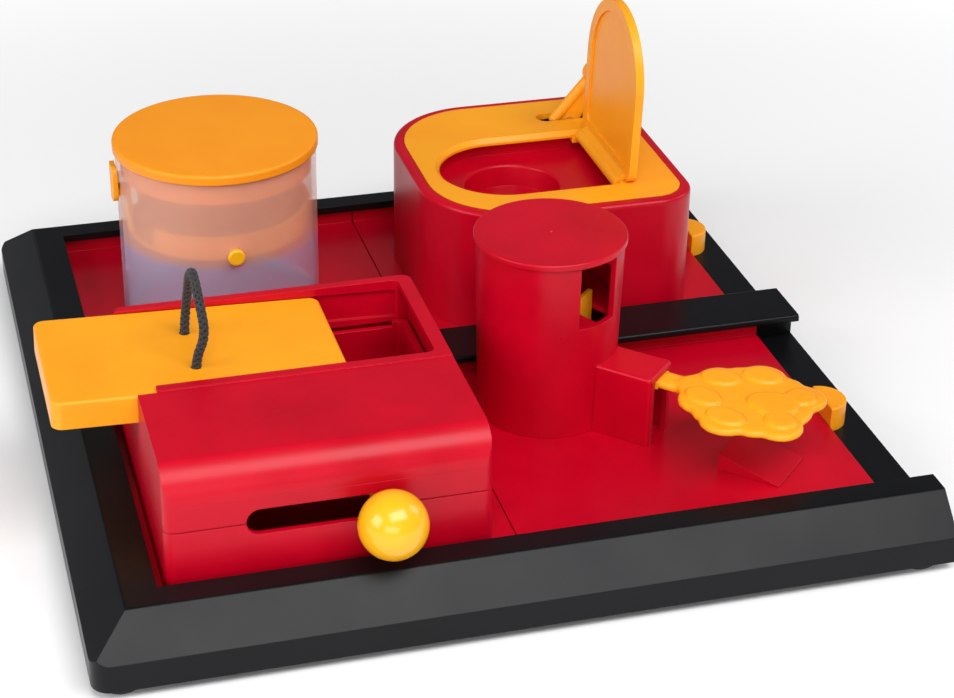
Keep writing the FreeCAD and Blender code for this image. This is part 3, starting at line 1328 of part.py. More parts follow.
def gate():
    """The gate in front of the shelf: an arm from the hub into the tower and a blade."""
    half = GATE_W / 2
    t = SHELF_EDGE + 1.2
    z_arm = PAW_PIVOT_Z - 2.0
    arm = chute_box(t, PAW_PIVOT, -half + 1.5, half - 1.5, z_arm, z_arm + 3.0)
    blade = chute_box(t, t + GATE_T, -half, half, z_arm, GATE_TOP)
    return arm.fuse(blade)


def make_ramp():
    t0 = BLOCK_END + RAMP_NEAR
    t1 = t0 + RAMP_LEN
    s0 = RAMP_SIDE - RAMP_W / 2
    profile = [along(t0, s0, PLATE_Z), along(t1, s0, PLATE_Z), along(t1, s0, PLATE_Z + RAMP_TOE_H),
               along(t0, s0, PLATE_Z + RAMP_H)]
    wedge = prism(profile, SIDE_DIR * RAMP_W)
    keep("stop_ramp", wedge)


def make_plates(screws):
    left, right, front, back = plate_spans()
    plates = {
        "plate_slide_box": plate(left[0], left[1], front[0], front[1]),
        "plate_drum": plate(left[0], left[1], back[0], back[1]),
        "plate_flap": plate(right[0], right[1], back[0], back[1]),
        "plate_tower": plate(right[0], right[1], front[0], front[1]),
    }
    for name, places in screws.items():
        for x, y in places:
            plates[name] = plates[name].cut(screw_room(x, y, FLOOR_Z, SCREW_BITE))
    for name, shape in plates.items():
        keep(name, shape)


def main():
    os.makedirs("parts", exist_ok=True)
    make_board()
    make_rail()
    make_feet()
    make_locks()
    screws = make_slide_box()
    make_slide_lid()
    make_cord()
    make_drawer()
    make_drum()
    make_drum_lid()
    make_tray()
    screws += make_flap_housing()
    make_flap_frame()
    make_flap_floor()
    make_flap_lid()
    screws += make_tower()
    make_cap()
    make_shelf()
    make_block()
    make_paw()
    make_ramp()
    make_plates({"plate_slide_box": box_screw_places(), "plate_flap": flap_screw_places(),
                 "plate_tower": tower_screw_places()})
    keep("module_screws", Part.makeCompound(screws))
    for name, shape in NODES.items():
        shape.exportStep(os.path.join("parts", name + ".step"))
        b = shape.BoundBox
        print("%-18s %2d solids %10.1f mm3  x %.1f..%.1f  y %.1f..%.1f  z %.1f..%.1f" % (
            name, len(shape.Solids), shape.Volume, b.XMin, b.XMax, b.YMin, b.YMax, b.ZMin, b.ZMax))


main()
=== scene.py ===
"""Looks of a dog puzzle feeder: a black board with four red and orange treat modules."""

import logging
import math
from dataclasses import dataclass, field
from enum import Enum

import bpy
import bmesh
from mathutils import Matrix, Vector


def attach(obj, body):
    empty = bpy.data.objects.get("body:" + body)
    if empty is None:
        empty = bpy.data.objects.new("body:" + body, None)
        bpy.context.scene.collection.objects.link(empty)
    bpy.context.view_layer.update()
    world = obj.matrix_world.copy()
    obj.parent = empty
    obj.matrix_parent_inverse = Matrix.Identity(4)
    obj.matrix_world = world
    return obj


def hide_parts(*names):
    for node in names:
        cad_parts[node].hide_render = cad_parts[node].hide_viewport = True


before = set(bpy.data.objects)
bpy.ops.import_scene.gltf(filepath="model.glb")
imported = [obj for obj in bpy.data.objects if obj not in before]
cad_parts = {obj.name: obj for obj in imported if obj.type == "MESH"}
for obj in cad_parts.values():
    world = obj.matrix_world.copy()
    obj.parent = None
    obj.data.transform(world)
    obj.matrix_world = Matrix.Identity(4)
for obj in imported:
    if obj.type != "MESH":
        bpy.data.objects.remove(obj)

LOG = logging.getLogger("puzzle_feeder")
MM = 0.001
SMOOTH_ANGLE = math.radians(28)
WELD = 0.000002
FLAT_EDGE = 0.000001


class Slot(Enum):
    """The record's material slots."""

    BOARD = "board_black"
    FOOT = "foot_rubber"
    RED = "module_red"
    ORANGE = "lid_orange"
    KNOB = "knob_yellow"
    FROSTED = "frosted_clear"
    CORD = "cord_black"
    STEEL = "steel"


def linear(hex_colour: str) -> tuple[float, float, float, float]:
    """Turn a written screen colour into the linear colour that a shader takes.

    Args:
        hex_colour: Six hexadecimal digits.

    Returns:
        Red, green, blue and alpha.
    """
    parts = [int(hex_colour[i:i + 2], 16) / 255 for i in (0, 2, 4)]
    out = [c / 12.92 if c <= 0.04045 else ((c + 0.055) / 1.055) ** 2.4 for c in parts]
    return (out[0], out[1], out[2], 1.0)


class Graph:
    """A small helper that adds nodes to one material and links them."""

    def __init__(self, name: str) -> None:
        """Make a material with an empty node tree.

        Args:
            name: The material's name.
        """
        self.material = bpy.data.materials.new(name)
        self.material.use_nodes = True
        self.tree = self.material.node_tree
        self.tree.nodes.clear()

    def add(self, kind: str, **settings: object) -> bpy.types.Node:
        """Add a node and set its properties and sockets.

        Args:
            kind: The node's type name.
            settings: Properties by name, or socket values by their name with _ for spaces.

        Returns:
            The new node.
        """
        node = self.tree.nodes.new(kind)
        for key, value in settings.items():
            if hasattr(node, key):
                setattr(node, key, value)
            else:
                node.inputs[key.replace("_", " ")].default_value = value
        return node

    def link(self, source: bpy.types.Node, output: str, target: bpy.types.Node,
             entry: str | int) -> None:
        """Join an output socket to an input socket.

        Args:
            source: The node that gives the value.
            output: The name of its output.
            target: The node that takes it.
            entry: The name or number of its input.
        """
        self.tree.links.new(source.outputs[output], target.inputs[entry])

    def place(self, scale: float) -> bpy.types.Node:
        """Give object coordinates times scale.

        Args:
            scale: How many pattern units there are in a metre.

        Returns:
            The Mapping node, whose Vector output holds them.
        """
        coords = self.add("ShaderNodeTexCoord")
        mapping = self.add("ShaderNodeMapping", Scale=(scale, scale, scale))
        self.link(coords, "Object", mapping, "Vector")
        return mapping

    def noise(self, scale: float, detail: float, roughness: float = 0.5) -> bpy.types.Node:
        """Add a noise pattern on object coordinates.

        Args:
            scale: How many pattern units there are in a metre.
            detail: How many finer layers it has.
            roughness: How strong they are.

        Returns:
            The noise node.
        """
        pattern = self.add("ShaderNodeTexNoise", Scale=1.0, Detail=detail, Roughness=roughness)
        self.link(self.place(scale), "Vector", pattern, "Vector")
        return pattern

    def blend(self, low: str, high: str) -> bpy.types.Node:
        """Add a colour mix from one written colour to another.

        Args:
            low: The colour at factor 0.
            high: The colour at factor 1.

        Returns:
            The mix node.
        """
        mix = self.add("ShaderNodeMix", data_type="RGBA")
        mix.inputs["A"].default_value = linear(low)
        mix.inputs["B"].default_value = linear(high)
        return mix

    def output(self, shader: bpy.types.Node) -> bpy.types.Material:
        """Link the shader to the material's surface.

        Args:
            shader: A node with a BSDF output.

        Returns:
            The finished material.
        """
        end = self.add("ShaderNodeOutputMaterial")
        self.link(shader, "BSDF", end, "Surface")
        return self.material


@dataclass(frozen=True)
class MouldedPlastic:
    """Injection-moulded plastic: faint flow marks, a fine skin and softened edges."""

    name: str
    colour: str
    deep: str
    roughness: float
    specular: float = 0.4
    spread: float = 0.06
    flow_scale: float = 26.0
    skin_scale: float = 1500.0
    skin_depth: float = 0.00002
    wave_scale: float = 55.0
    wave_depth: float = 0.00007
    edge_radius: float = 0.00045
    coat: float = 0.0
    coat_roughness: float = 0.12
    glow: float = 0.0
    glow_reach: tuple[float, float, float] = (0.004, 0.002, 0.0008)

    def build(self) -> bpy.types.Material:
        """Make the material.

        Returns:
            A node-based material on object coordinates.
        """
        g = Graph(self.name)
        flow = g.noise(self.flow_scale, 4.0, 0.55)
        tint = g.blend(self.deep, self.colour)
        fade = g.add("ShaderNodeMapRange", From_Min=0.32, From_Max=0.6)
        g.link(flow, "Fac", fade, "Value")
        g.link(fade, "Result", tint, "Factor")
        gloss = g.add("ShaderNodeMapRange", From_Min=0.25, From_Max=0.75,
                      To_Min=self.roughness - self.spread, To_Max=self.roughness + self.spread)
        g.link(flow, "Fac", gloss, "Value")
        skin = g.noise(self.skin_scale, 2.0)
        wave = g.noise(self.wave_scale, 1.0)
        edge = g.add("ShaderNodeBevel", samples=6, Radius=self.edge_radius)
        coarse = g.add("ShaderNodeBump", Strength=1.0, Distance=self.wave_depth)
        g.link(wave, "Fac", coarse, "Height")
        g.link(edge, "Normal", coarse, "Normal")
        fine = g.add("ShaderNodeBump", Strength=1.0, Distance=self.skin_depth)
        g.link(skin, "Fac", fine, "Height")
        g.link(coarse, "Normal", fine, "Normal")
        shader = g.add("ShaderNodeBsdfPrincipled")
        shader.inputs["Specular IOR Level"].default_value = self.specular
        shader.inputs["Coat Weight"].default_value = self.coat
        shader.inputs["Coat Roughness"].default_value = self.coat_roughness
        shader.inputs["Subsurface Weight"].default_value = self.glow
        shader.inputs["Subsurface Radius"].default_value = self.glow_reach
        shader.inputs["Subsurface Scale"].default_value = 1.0
        g.link(tint, "Result", shader, "Base Color")
        g.link(gloss, "Result", shader, "Roughness")
        g.link(fine, "Normal", shader, "Normal")
        return g.output(shader)


@dataclass(frozen=True)
class FrostedPlastic:
    """Milky see-through plastic of the drum's wall, painted warm orange in its upper part as a
    stand-in for the lid's and tray's light.
    """

    name: str = "frosted_plastic"
    clear: str = "CDC0DE"
    # Painted glow: this warm orange stands in for light from the orange lid and tray scattered
    # inside the wall.
    painted_orange_glow: str = "F8BFA8"
    painted_glow_from: float = 0.050
    painted_glow_over: float = 0.005
    roughness: float = 0.34
    cover: float = 0.36
    skin_scale: float = 900.0
    skin_depth: float = 0.00003

    def build(self) -> bpy.types.Material:
        """Make the material.

        Returns:
            A milky skin that lets most of what lies behind it through, with a painted orange glow
            higher up.
        """
        g = Graph(self.name)
        # Painted light: higher up, the wall's colour turns warm orange, standing in for orange
        # light from the lid and tray scattered in the wall.
        tint = g.blend(self.clear, self.painted_orange_glow)
        height = g.add("ShaderNodeSeparateXYZ")
        g.link(g.place(1.0), "Vector", height, "Vector")
        glow_rise = g.add("ShaderNodeMapRange", interpolation_type="SMOOTHSTEP",
                     From_Min=self.painted_glow_from, From_Max=self.painted_glow_from + self.painted_glow_over)
        g.link(height, "Z", glow_rise, "Value")
        g.link(glow_rise, "Result", tint, "Factor")
        bump = g.add("ShaderNodeBump", Strength=1.0, Distance=self.skin_depth)
        g.link(g.noise(self.skin_scale, 2.0), "Fac", bump, "Height")
        shader = g.add("ShaderNodeBsdfPrincipled", Roughness=self.roughness, Alpha=self.cover)
        shader.inputs["Specular IOR Level"].default_value = 0.6
        shader.inputs["Subsurface Weight"].default_value = 0.3
        shader.inputs["Subsurface Radius"].default_value = (0.004, 0.004, 0.004)
        shader.inputs["Subsurface Scale"].default_value = 1.0
        g.link(tint, "Result", shader, "Base Color")
        g.link(bump, "Normal", shader, "Normal")
        return g.output(shader)


@dataclass(frozen=True)
class Rubber:
    """Matt black rubber of the feet."""

    name: str = "foot_rubber"
    colour: str = "1C1C1E"
    worn: str = "2A2A2C"
    roughness: float = 0.78

    def build(self) -> bpy.types.Material:
        """Make the material.

        Returns:
            A node-based material on object coordinates.
        """
        g = Graph(self.name)
        speck = g.noise(2200.0, 3.0)
        tint = g.blend(self.colour, self.worn)
        g.link(speck, "Fac", tint, "Factor")
        bump = g.add("ShaderNodeBump", Strength=1.0, Distance=0.00005)
        g.link(speck, "Fac", bump, "Height")
        shader = g.add("ShaderNodeBsdfPrincipled", Roughness=self.roughness)
        g.link(tint, "Result", shader, "Base Color")
        g.link(bump, "Normal", shader, "Normal")
        return g.output(shader)


@dataclass(frozen=True)
class PlatedSteel:
    """Zinc-plated steel of the screws, the shaft and the axle."""

    name: str = "plated_steel"
    colour: str = "B9BBC0"
    roughness: float = 0.34

    def build(self) -> bpy.types.Material:
        """Make the material.

        Returns:
            A node-based material on object coordinates.
        """
        g = Graph(self.name)
        gloss = g.add("ShaderNodeMapRange", To_Min=self.roughness - 0.1,
                      To_Max=self.roughness + 0.1)
        g.link(g.noise(700.0, 4.0), "Fac", gloss, "Value")
        shader = g.add("ShaderNodeBsdfPrincipled", Metallic=1.0)
        shader.inputs["Base Color"].default_value = linear(self.colour)
        g.link(gloss, "Result", shader, "Roughness")
        return g.output(shader)


@dataclass(frozen=True)
class BraidedYarn:
    """Black synthetic yarn of the pull cord's strands."""

    name: str = "braided_yarn"
    colour: str = "121113"
    light: str = "2B292C"
    roughness: float = 0.6

    def build(self) -> bpy.types.Material:
        """Make the material.

        Returns:
            A node-based material on object coordinates.
        """
        g = Graph(self.name)
        fibre = g.noise(5200.0, 5.0, 0.7)
        tint = g.blend(self.colour, self.light)
        g.link(fibre, "Fac", tint, "Factor")
        bump = g.add("ShaderNodeBump", Strength=1.0, Distance=0.00008)
        g.link(fibre, "Fac", bump, "Height")
        shader = g.add("ShaderNodeBsdfPrincipled", Roughness=self.roughness)
        shader.inputs["Sheen Weight"].default_value = 0.2
        g.link(tint, "Result", shader, "Base Color")
        g.link(bump, "Normal", shader, "Normal")
        return g.output(shader)


RED = MouldedPlastic("red_plastic", "C60021", "B6001C", 0.32, specular=0.27)
ORANGE = MouldedPlastic("orange_plastic", "FEA81C", "FC9F17", 0.36, specular=0.32, glow=0.15)
LID_ORANGE = MouldedPlastic("lid_orange_plastic", "F99A1B", "F69416", 0.42, specular=0.3, glow=0.1)
KNOB = MouldedPlastic("knob_plastic", "FFB71B", "FDB016", 0.2, spread=0.03, coat=0.3)
BLACK = MouldedPlastic("black_plastic", "0E0F12", "0B0C0E", 0.34, specular=0.2,
                       spread=0.05, wave_scale=14.0, wave_depth=0.0004)
FROSTED = FrostedPlastic()
RUBBER = Rubber()
STEEL = PlatedSteel()
YARN = BraidedYarn()
Finish = MouldedPlastic | FrostedPlastic | Rubber | PlatedSteel | BraidedYarn


class Paintbox:
    """Builds each finish once and keeps it."""

    def __init__(self) -> None:
        """Start with no material made."""
        self.made: dict[str, bpy.types.Material] = {}

    def get(self, finish: Finish) -> bpy.types.Material:
        """Give the finish's material.

        Args:
            finish: One of the finishes above.

        Returns:
            Its material, made on the first call.
        """
        if finish.name not in self.made:
            self.made[finish.name] = finish.build()
        return self.made[finish.name]

    def dress(self, thing: bpy.types.Object, finish: Finish) -> bpy.types.Object:
        """Give the whole object one finish.

        Args:
            thing: The object.
            finish: Its finish.

        Returns:
            The object.
        """
        thing.data.materials.clear()
        thing.data.materials.append(self.get(finish))
        return thing


PAINT = Paintbox()


def only(*things: bpy.types.Object) -> bpy.types.Object:
    """Make the objects the selected ones and the first of them active.

    Args:
        things: The objects.

    Returns:
        The first of them.
    """
    if bpy.context.object and bpy.context.object.mode != "OBJECT":
        bpy.ops.object.mode_set(mode="OBJECT")
    bpy.ops.object.select_all(action="DESELECT")
    for thing in things:
        thing.select_set(True)
    bpy.context.view_layer.objects.active = things[0]
    return things[0]


def settle(thing: bpy.types.Object) -> bpy.types.Object:
    """Put the object's place into its mesh.

    Args:
        thing: The object.

    Returns:
        The object, at the origin.
    """
    only(thing)
    bpy.ops.object.transform_apply(location=True, rotation=True, scale=True)
    return thing


def apply_modifier(thing: bpy.types.Object, kind: str, **settings: object) -> None:
    """Add a modifier, set it and apply it.

    Args:
        thing: The object.
        kind: The modifier's type.
        settings: Its properties by name.
    """
    only(thing)
    modifier = thing.modifiers.new(kind.lower(), kind)
    for key, value in settings.items():
        setattr(modifier, key, value)
    bpy.ops.object.modifier_apply(modifier=modifier.name)


def solid_copy(node: str, name: str) -> bpy.types.Object:
    """Copy a node's solid and merge its loose triangles.

    Args:
        node: The node.
        name: The copy's name.

    Returns:
        The copy.
    """
    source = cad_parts[node]
    piece = bpy.data.objects.new(name, source.data.copy())
    bpy.context.scene.collection.objects.link(piece)
    only(piece)
    bpy.ops.object.mode_set(mode="EDIT")
    bpy.ops.mesh.customdata_custom_splitnormals_clear()
    bpy.ops.mesh.select_all(action="SELECT")
    bpy.ops.mesh.remove_doubles(threshold=WELD)
    bpy.ops.object.mode_set(mode="OBJECT")
    return piece


@dataclass
class SmoothShell:
    """A copy of a node's solid with joined faces and round shading."""

    node: str
    finish: Finish
    slot: Slot
    body: str = "root"

    def build(self) -> bpy.types.Object:
        """Make the copy, merge it, shade it and set it in place of the node.

        Returns:
            The new piece.
        """
        piece = solid_copy(self.node, self.node + "_skin")
        bpy.ops.object.shade_smooth_by_angle(angle=SMOOTH_ANGLE)
        apply_modifier(piece, "WEIGHTED_NORMAL", keep_sharp=True, weight=80)
        PAINT.dress(piece, self.finish)
        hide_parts(self.node)
        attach(piece, self.body)
        LOG.info("%s from its solid", piece.name)
        return piece


@dataclass
class PullCord:
    """The braided loop on the slide lid."""

    diameter: float = 3.3 * MM
    strands: int = 8
    pitch: float = 9.0 * MM
    strand_radius: float = 0.54 * MM
    over_under: float = 0.16 * MM
    step: float = 0.45 * MM
    route: list[tuple[float, float, float]] = field(default_factory=lambda: [
        (-101.4, -34.0, 62.16),
        (-101.4, -34.0, 68.16),
        (-99.8, -33.4, 78.16),
        (-99.2, -37.4, 90.66),
        (-99.0, -47.5, 97.16),
        (-98.8, -57.6, 90.16),
        (-97.6, -62.0, 78.66),
        (-101.4, -60.0, 68.16),
        (-101.4, -60.0, 62.16),
    ])

    def spline_points(self) -> list[Vector]:
        """Read the line of a smooth spline along the route.

        Returns:
            Points along it, in metres.
        """
        curve = bpy.data.curves.new("cord_line", "CURVE")
        curve.dimensions = "3D"
        spline = curve.splines.new("NURBS")
        spline.points.add(len(self.route) - 1)
        for point, place in zip(spline.points, self.route):
            point.co = (place[0] * MM, place[1] * MM, place[2] * MM, 1)
        spline.order_u = 3
        spline.use_endpoint_u = True
        spline.resolution_u = 48
        line = bpy.data.objects.new("cord_line", curve)
        bpy.context.scene.collection.objects.link(line)
        bpy.context.view_layer.update()
        mesh = bpy.data.meshes.new_from_object(line)
        points = [v.co.copy() for v in mesh.vertices]
        bpy.data.objects.remove(line)
        bpy.data.meshes.remove(mesh)
        return points

    def even_points(self) -> list[Vector]:
        """Space the spline's points evenly, one step apart.

        Returns:
            The points, with both ends.
        """
        raw = self.spline_points()
        out = [raw[0]]
        carry = 0.0
        for a, b in zip(raw, raw[1:]):
            span = (b - a).length
            while span > 0 and carry + span >= self.step:
                a = a + (b - a) * ((self.step - carry) / span)
                out.append(a)
                span = (b - a).length
                carry = 0.0
            carry += span
        out.append(raw[-1])
        return out

    def frames(self, line: list[Vector]) -> list[tuple[Vector, Vector, Vector]]:
        """Carry a pair of cross axes along the line without twist.

        Args:
            line: The cord's points.

        Returns:
            Each point with its two cross axes.
        """
        ahead = [(line[min(i + 1, len(line) - 1)] - line[max(i - 1, 0)]).normalized()
                 for i in range(len(line))]
        side = Vector((1, 0, 0))
        out = []
        for place, t in zip(line, ahead):
            side = (side - t * side.dot(t)).normalized()
            out.append((place, side.copy(), t.cross(side)))
        return out

    def strand(self, frames: list[tuple[Vector, Vector, Vector]], start: float,
               hand: int) -> bpy.types.Object:
        """Wind one strand round the line.

        Args:
            frames: Places with their two cross axes.
            start: The strand's angle at the line's start.
            hand: 1 or -1, which way it turns.

        Returns:
            The strand as a curve with a round section.
        """
        middle = self.diameter / 2 - self.strand_radius + 0.1 * MM
        curve = bpy.data.curves.new("strand", "CURVE")
        curve.dimensions = "3D"
        curve.bevel_depth = self.strand_radius
        curve.bevel_resolution = 1
        curve.use_fill_caps = True
        line = curve.splines.new("POLY")
        line.points.add(len(frames) - 1)
        for i, (place, across, up) in enumerate(frames):
            turn = 2 * math.pi * i * self.step / self.pitch
            angle = start + hand * turn
            r = middle + hand * self.over_under * math.cos(self.strands / 2 * turn)
            p = place + across * (r * math.cos(angle)) + up * (r * math.sin(angle))
            line.points[i].co = (p.x, p.y, p.z, 1)
        thing = bpy.data.objects.new("strand", curve)
        bpy.context.scene.collection.objects.link(thing)
        return thing

    def build(self) -> bpy.types.Object:
        """Returns:
            The cord as one mesh.
        """
        line = self.even_points()
        frames = self.frames(line)
        half = self.strands // 2
        only(*[self.strand(frames, 2 * math.pi * k / half, hand)
               for hand in (1, -1) for k in range(half)])
        bpy.ops.object.convert(target="MESH")
        bpy.ops.object.join()
        cord = bpy.context.object
        cord.name = "pull_cord_braid"
        settle(cord)
        bpy.ops.object.shade_smooth()
        PAINT.dress(cord, YARN)
        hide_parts("pull_cord")
        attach(cord, "sliding_lid")
        return cord


@dataclass
class Board:
    """The black board with its rail, feet, screws, plates and lock posts."""

    black: tuple[str, ...] = ("base_board", "centre_rail")
    plates: tuple[str, ...] = ("plate_slide_box", "plate_drum", "plate_flap", "plate_tower")
    posts: tuple[tuple[str, str], ...] = (("lock_post_front", "front_lock"),
                                          ("lock_post_back", "back_lock"))
    screws: tuple[str, ...] = ("rail_screws", "module_screws")

    def build(self) -> None:
        """Dress the board and all that is fixed to it."""
        for node in self.black:
            SmoothShell(node, BLACK, Slot.BOARD).build()
        for node in self.plates:
            SmoothShell(node, RED, Slot.RED).build()
        for node, body in self.posts:
            SmoothShell(node, ORANGE, Slot.ORANGE, body).build()
        for node in self.screws:
            SmoothShell(node, STEEL, Slot.STEEL).build()
        SmoothShell("rubber_feet", RUBBER, Slot.FOOT).build()


@dataclass
class SlideBox:
    """The box with the sliding slab on top and the drawer in front."""

    shells: tuple[str, ...] = ("slide_box_base", "slide_box_top")
    knob_parts: tuple[str, ...] = ("drawer_stem", "drawer_knob")

    def build(self) -> None:
        """Dress the box, the slab, the drawer and its ball."""
        for node in self.shells:
            SmoothShell(node, RED, Slot.RED).build()
        SmoothShell("slide_lid", ORANGE, Slot.ORANGE, "sliding_lid").build()
        SmoothShell("treat_drawer", RED, Slot.RED, "drawer").build()
        for node in self.knob_parts:
            SmoothShell(node, KNOB, Slot.KNOB, "drawer").build()
        PAINT.dress(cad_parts["cord_knots"], YARN)


@dataclass
class Drum:
    """The frosted drum with its loose lid and its tipping tray."""

    def build(self) -> None:
        """Dress the wall, the lid and the tray."""
        SmoothShell("frosted_drum", FROSTED, Slot.FROSTED).build()
        SmoothShell("drum_lid", LID_ORANGE, Slot.ORANGE, "drum_cover").build()
        SmoothShell("tipping_tray", ORANGE, Slot.ORANGE, "tray").build()
        SmoothShell("tray_pins", KNOB, Slot.KNOB, "tray").build()
        SmoothShell("tray_lever", ORANGE, Slot.ORANGE, "tray").build()


@dataclass
class FlapModule:
    """The round-cornered shell with the orange inlay, the well and the standing flap."""

    def build(self) -> None:
        """Dress the shell, the inlay, the floor, and the flap with its lever and shaft."""
        SmoothShell("flap_housing", RED, Slot.RED).build()
        SmoothShell("flap_frame", ORANGE, Slot.ORANGE).build()
        SmoothShell("flap_floor", RED, Slot.RED).build()
        SmoothShell("flap_lid", ORANGE, Slot.ORANGE, "flap").build()
        SmoothShell("flap_lever", ORANGE, Slot.ORANGE, "flap").build()
        SmoothShell("flap_shaft", STEEL, Slot.STEEL, "flap").build()


@dataclass
class PawLever:
    """The soft-edged paw on the chute's lever, with its toes and heel raised."""

    chute_origin: tuple[float, float] = (37.4, -37.6)
    chute_angle: float = -45.0
    block_end: float = 48.8
    plate_low: float = 41.8
    plate_high: float = 44.9
    pad_high: float = 46.0
    cut_at: float = 0.8
    toe_in: tuple[float, float, float] = (20.7, 8.0, 9.6)
    toe_out: tuple[float, float, float] = (33.6, 17.2, 9.8)
    heel: tuple[float, float, float] = (52.4, 11.4, 9.0)
    middle: tuple[tuple[float, float, float], ...] = (
        (18.0, 0.0, 10.5), (30.0, 0.0, 14.5), (43.5, 0.0, 16.5), (27.3, 13.2, 8.6),
        (27.3, -13.2, 8.6), (43.6, 14.2, 8.4), (43.6, -14.2, 8.4))
    pad_radius: float = 5.4
    pad_stretch: float = 1.42
    pad_turns: tuple[float, float] = (16.0, 4.0)
    heel_pad: tuple[tuple[float, float, float], ...] = (
        (41.5, 0.0, 6.6), (46.0, 0.0, 8.6), (52.0, 9.8, 6.0), (52.0, -9.8, 6.0))
    neck: tuple[float, float, float] = (-1.0, 16.0, 5.0)
    neck_low: float = 1.2
    neck_high: float = 1.0
    heel_slab: tuple[float, float, float] = (32.0, 57.6, 14.0)
    pad_root: float = 1.5
    disc_round: float = 0.9
    slab_round: float = 0.6
    plate_skin: tuple[float, int] = (0.6, 30)
    heel_skin: tuple[float, int] = (0.5, 8)
    paw_skin: tuple[float, int] = (0.42, 4)

    def at(self, along: float, side: float, height: float) -> tuple[float, float, float]:
        """Turn a place along and beside the chute into metres in the frame.

        Args:
            along: How far it is from the chute's end.
            side: How far it is beside the lever's middle line.
            height: How high it is above the floor.

        Returns:
            Its x, y and z.
        """
        a = math.radians(self.chute_angle)
        reach = self.block_end + along
        x = self.chute_origin[0] + reach * math.cos(a) - side * math.sin(a)
        y = self.chute_origin[1] + reach * math.sin(a) + side * math.cos(a)
        return (x * MM, y * MM, height * MM)

    def disc(self, along: float, side: float, radius: float, low: float, high: float,
             stretch: float = 1.0, turn: float = 0.0) -> bpy.types.Object:
        """Add a round or oval disc with a rounded upper edge.

        Args:
            along: Its place from the chute's end.
            side: Its place beside the lever's middle line.
            radius: Its radius.
            low: Its lower face.
            high: Its upper face.
            stretch: How much longer it is along its turn than across.
            turn: Its direction from the chute's.

        Returns:
            The disc.
        """
        bpy.ops.object.select_all(action="DESELECT")
        bpy.ops.mesh.primitive_cylinder_add(
            vertices=72, radius=radius * MM, depth=(high - low) * MM,
            location=self.at(along, side, (low + high) / 2))
        thing = bpy.context.object
        thing.scale.x = stretch
        thing.rotation_euler.z = math.radians(self.chute_angle + turn)
        settle(thing)
        self.round_top(thing, min(self.disc_round, (high - low) * 0.45))
        return thing

    def slab(self, start: float, end: float, half: float, low: float,
             high: float) -> bpy.types.Object:
        """Add a straight slab along the lever.

        Args:
            start: Where it starts, from the chute's end.
            end: Where it ends.
            half: Half its width.
            low: Its lower face.
            high: Its upper face.

        Returns:
            The slab.
        """
        bpy.ops.object.select_all(action="DESELECT")
        bpy.ops.mesh.primitive_cube_add(size=1.0, location=self.at((start + end) / 2, 0,
                                                                  (low + high) / 2))
        thing = bpy.context.object
        thing.scale = ((end - start) * MM, 2 * half * MM, (high - low) * MM)
        thing.rotation_euler.z = math.radians(self.chute_angle)
        settle(thing)
        self.round_top(thing, self.slab_round)
        return thing

    def round_top(self, thing: bpy.types.Object, radius: float) -> None:
        """Bevel the edges of the upper face.

        Args:
            thing: The disc or slab.
            radius: The bevel's width.
        """
        only(thing)
        top = max(v.co.z for v in thing.data.vertices)
        bpy.ops.object.mode_set(mode="EDIT")
        bpy.ops.mesh.select_all(action="DESELECT")
        mesh = bmesh.from_edit_mesh(thing.data)
        for edge in mesh.edges:
            if all(abs(v.co.z - top) < FLAT_EDGE for v in edge.verts):
                edge.select_set(True)
        bmesh.update_edit_mesh(thing.data)
        bpy.ops.mesh.bevel(offset=radius * MM, segments=3, affect="EDGES")
        bpy.ops.object.mode_set(mode="OBJECT")

    def merge(self, parts: list[bpy.types.Object], voxel: float,
              rounds: int) -> bpy.types.Object:
        """Join parts into one skin and soften it.

        Args:
            parts: The parts, which overlap.
            voxel: The new skin's grid.
            rounds: How often it is smoothed.

        Returns:
            One closed soft solid.
        """
        joined = only(*parts)
        bpy.ops.object.join()
        apply_modifier(joined, "REMESH", mode="VOXEL", voxel_size=voxel * MM)
        apply_modifier(joined, "SMOOTH", factor=0.5, iterations=rounds)
        return joined

    def plate(self) -> bpy.types.Object:
        """Make the paw's flat body with its six lobes.

        Returns:
            The body with its neck.
        """
        low, high = self.plate_low, self.plate_high
        parts = [self.slab(*self.neck, low - self.neck_low, high - self.neck_high),
                 self.slab(*self.heel_slab, low, high)]
        for along, side, radius in (self.toe_in, self.toe_out, self.heel):
            for hand in (1, -1):
                parts.append(self.disc(along, hand * side, radius, low, high))
        for along, side, radius in self.middle:
            parts.append(self.disc(along, side, radius, low, high))
        return self.merge(parts, *self.plate_skin)

    def pads(self) -> list[bpy.types.Object]:
        """Make the four oval toe pads and the heel pad.

        Returns:
            The five pads.
        """
        low, high = self.plate_high - self.pad_root, self.pad_high
        parts = []
        for (along, side, _), turn in zip((self.toe_in, self.toe_out), self.pad_turns):
            for hand in (1, -1):
                parts.append(self.disc(along, hand * side, self.pad_radius, low, high,
                                       self.pad_stretch, hand * turn))
        heel = [self.disc(along, side, radius, low, high)
                for along, side, radius in self.heel_pad]
        parts.append(self.merge(heel, *self.heel_skin))
        return parts

    def root_end(self) -> bpy.types.Object:
        """Copy the hub, the gate and the neck's start from the node's solid.

        Returns:
            The lever's part inside the chute.
        """
        end = solid_copy("paw_lever", "paw_root_end")
        a = math.radians(self.chute_angle)
        bpy.ops.object.mode_set(mode="EDIT")
        bpy.ops.mesh.select_all(action="SELECT")
        bpy.ops.mesh.bisect(plane_co=self.at(self.cut_at, 0, 0),
                            plane_no=(math.cos(a), math.sin(a), 0),
                            use_fill=True, clear_outer=True)
        bpy.ops.object.mode_set(mode="OBJECT")
        return end

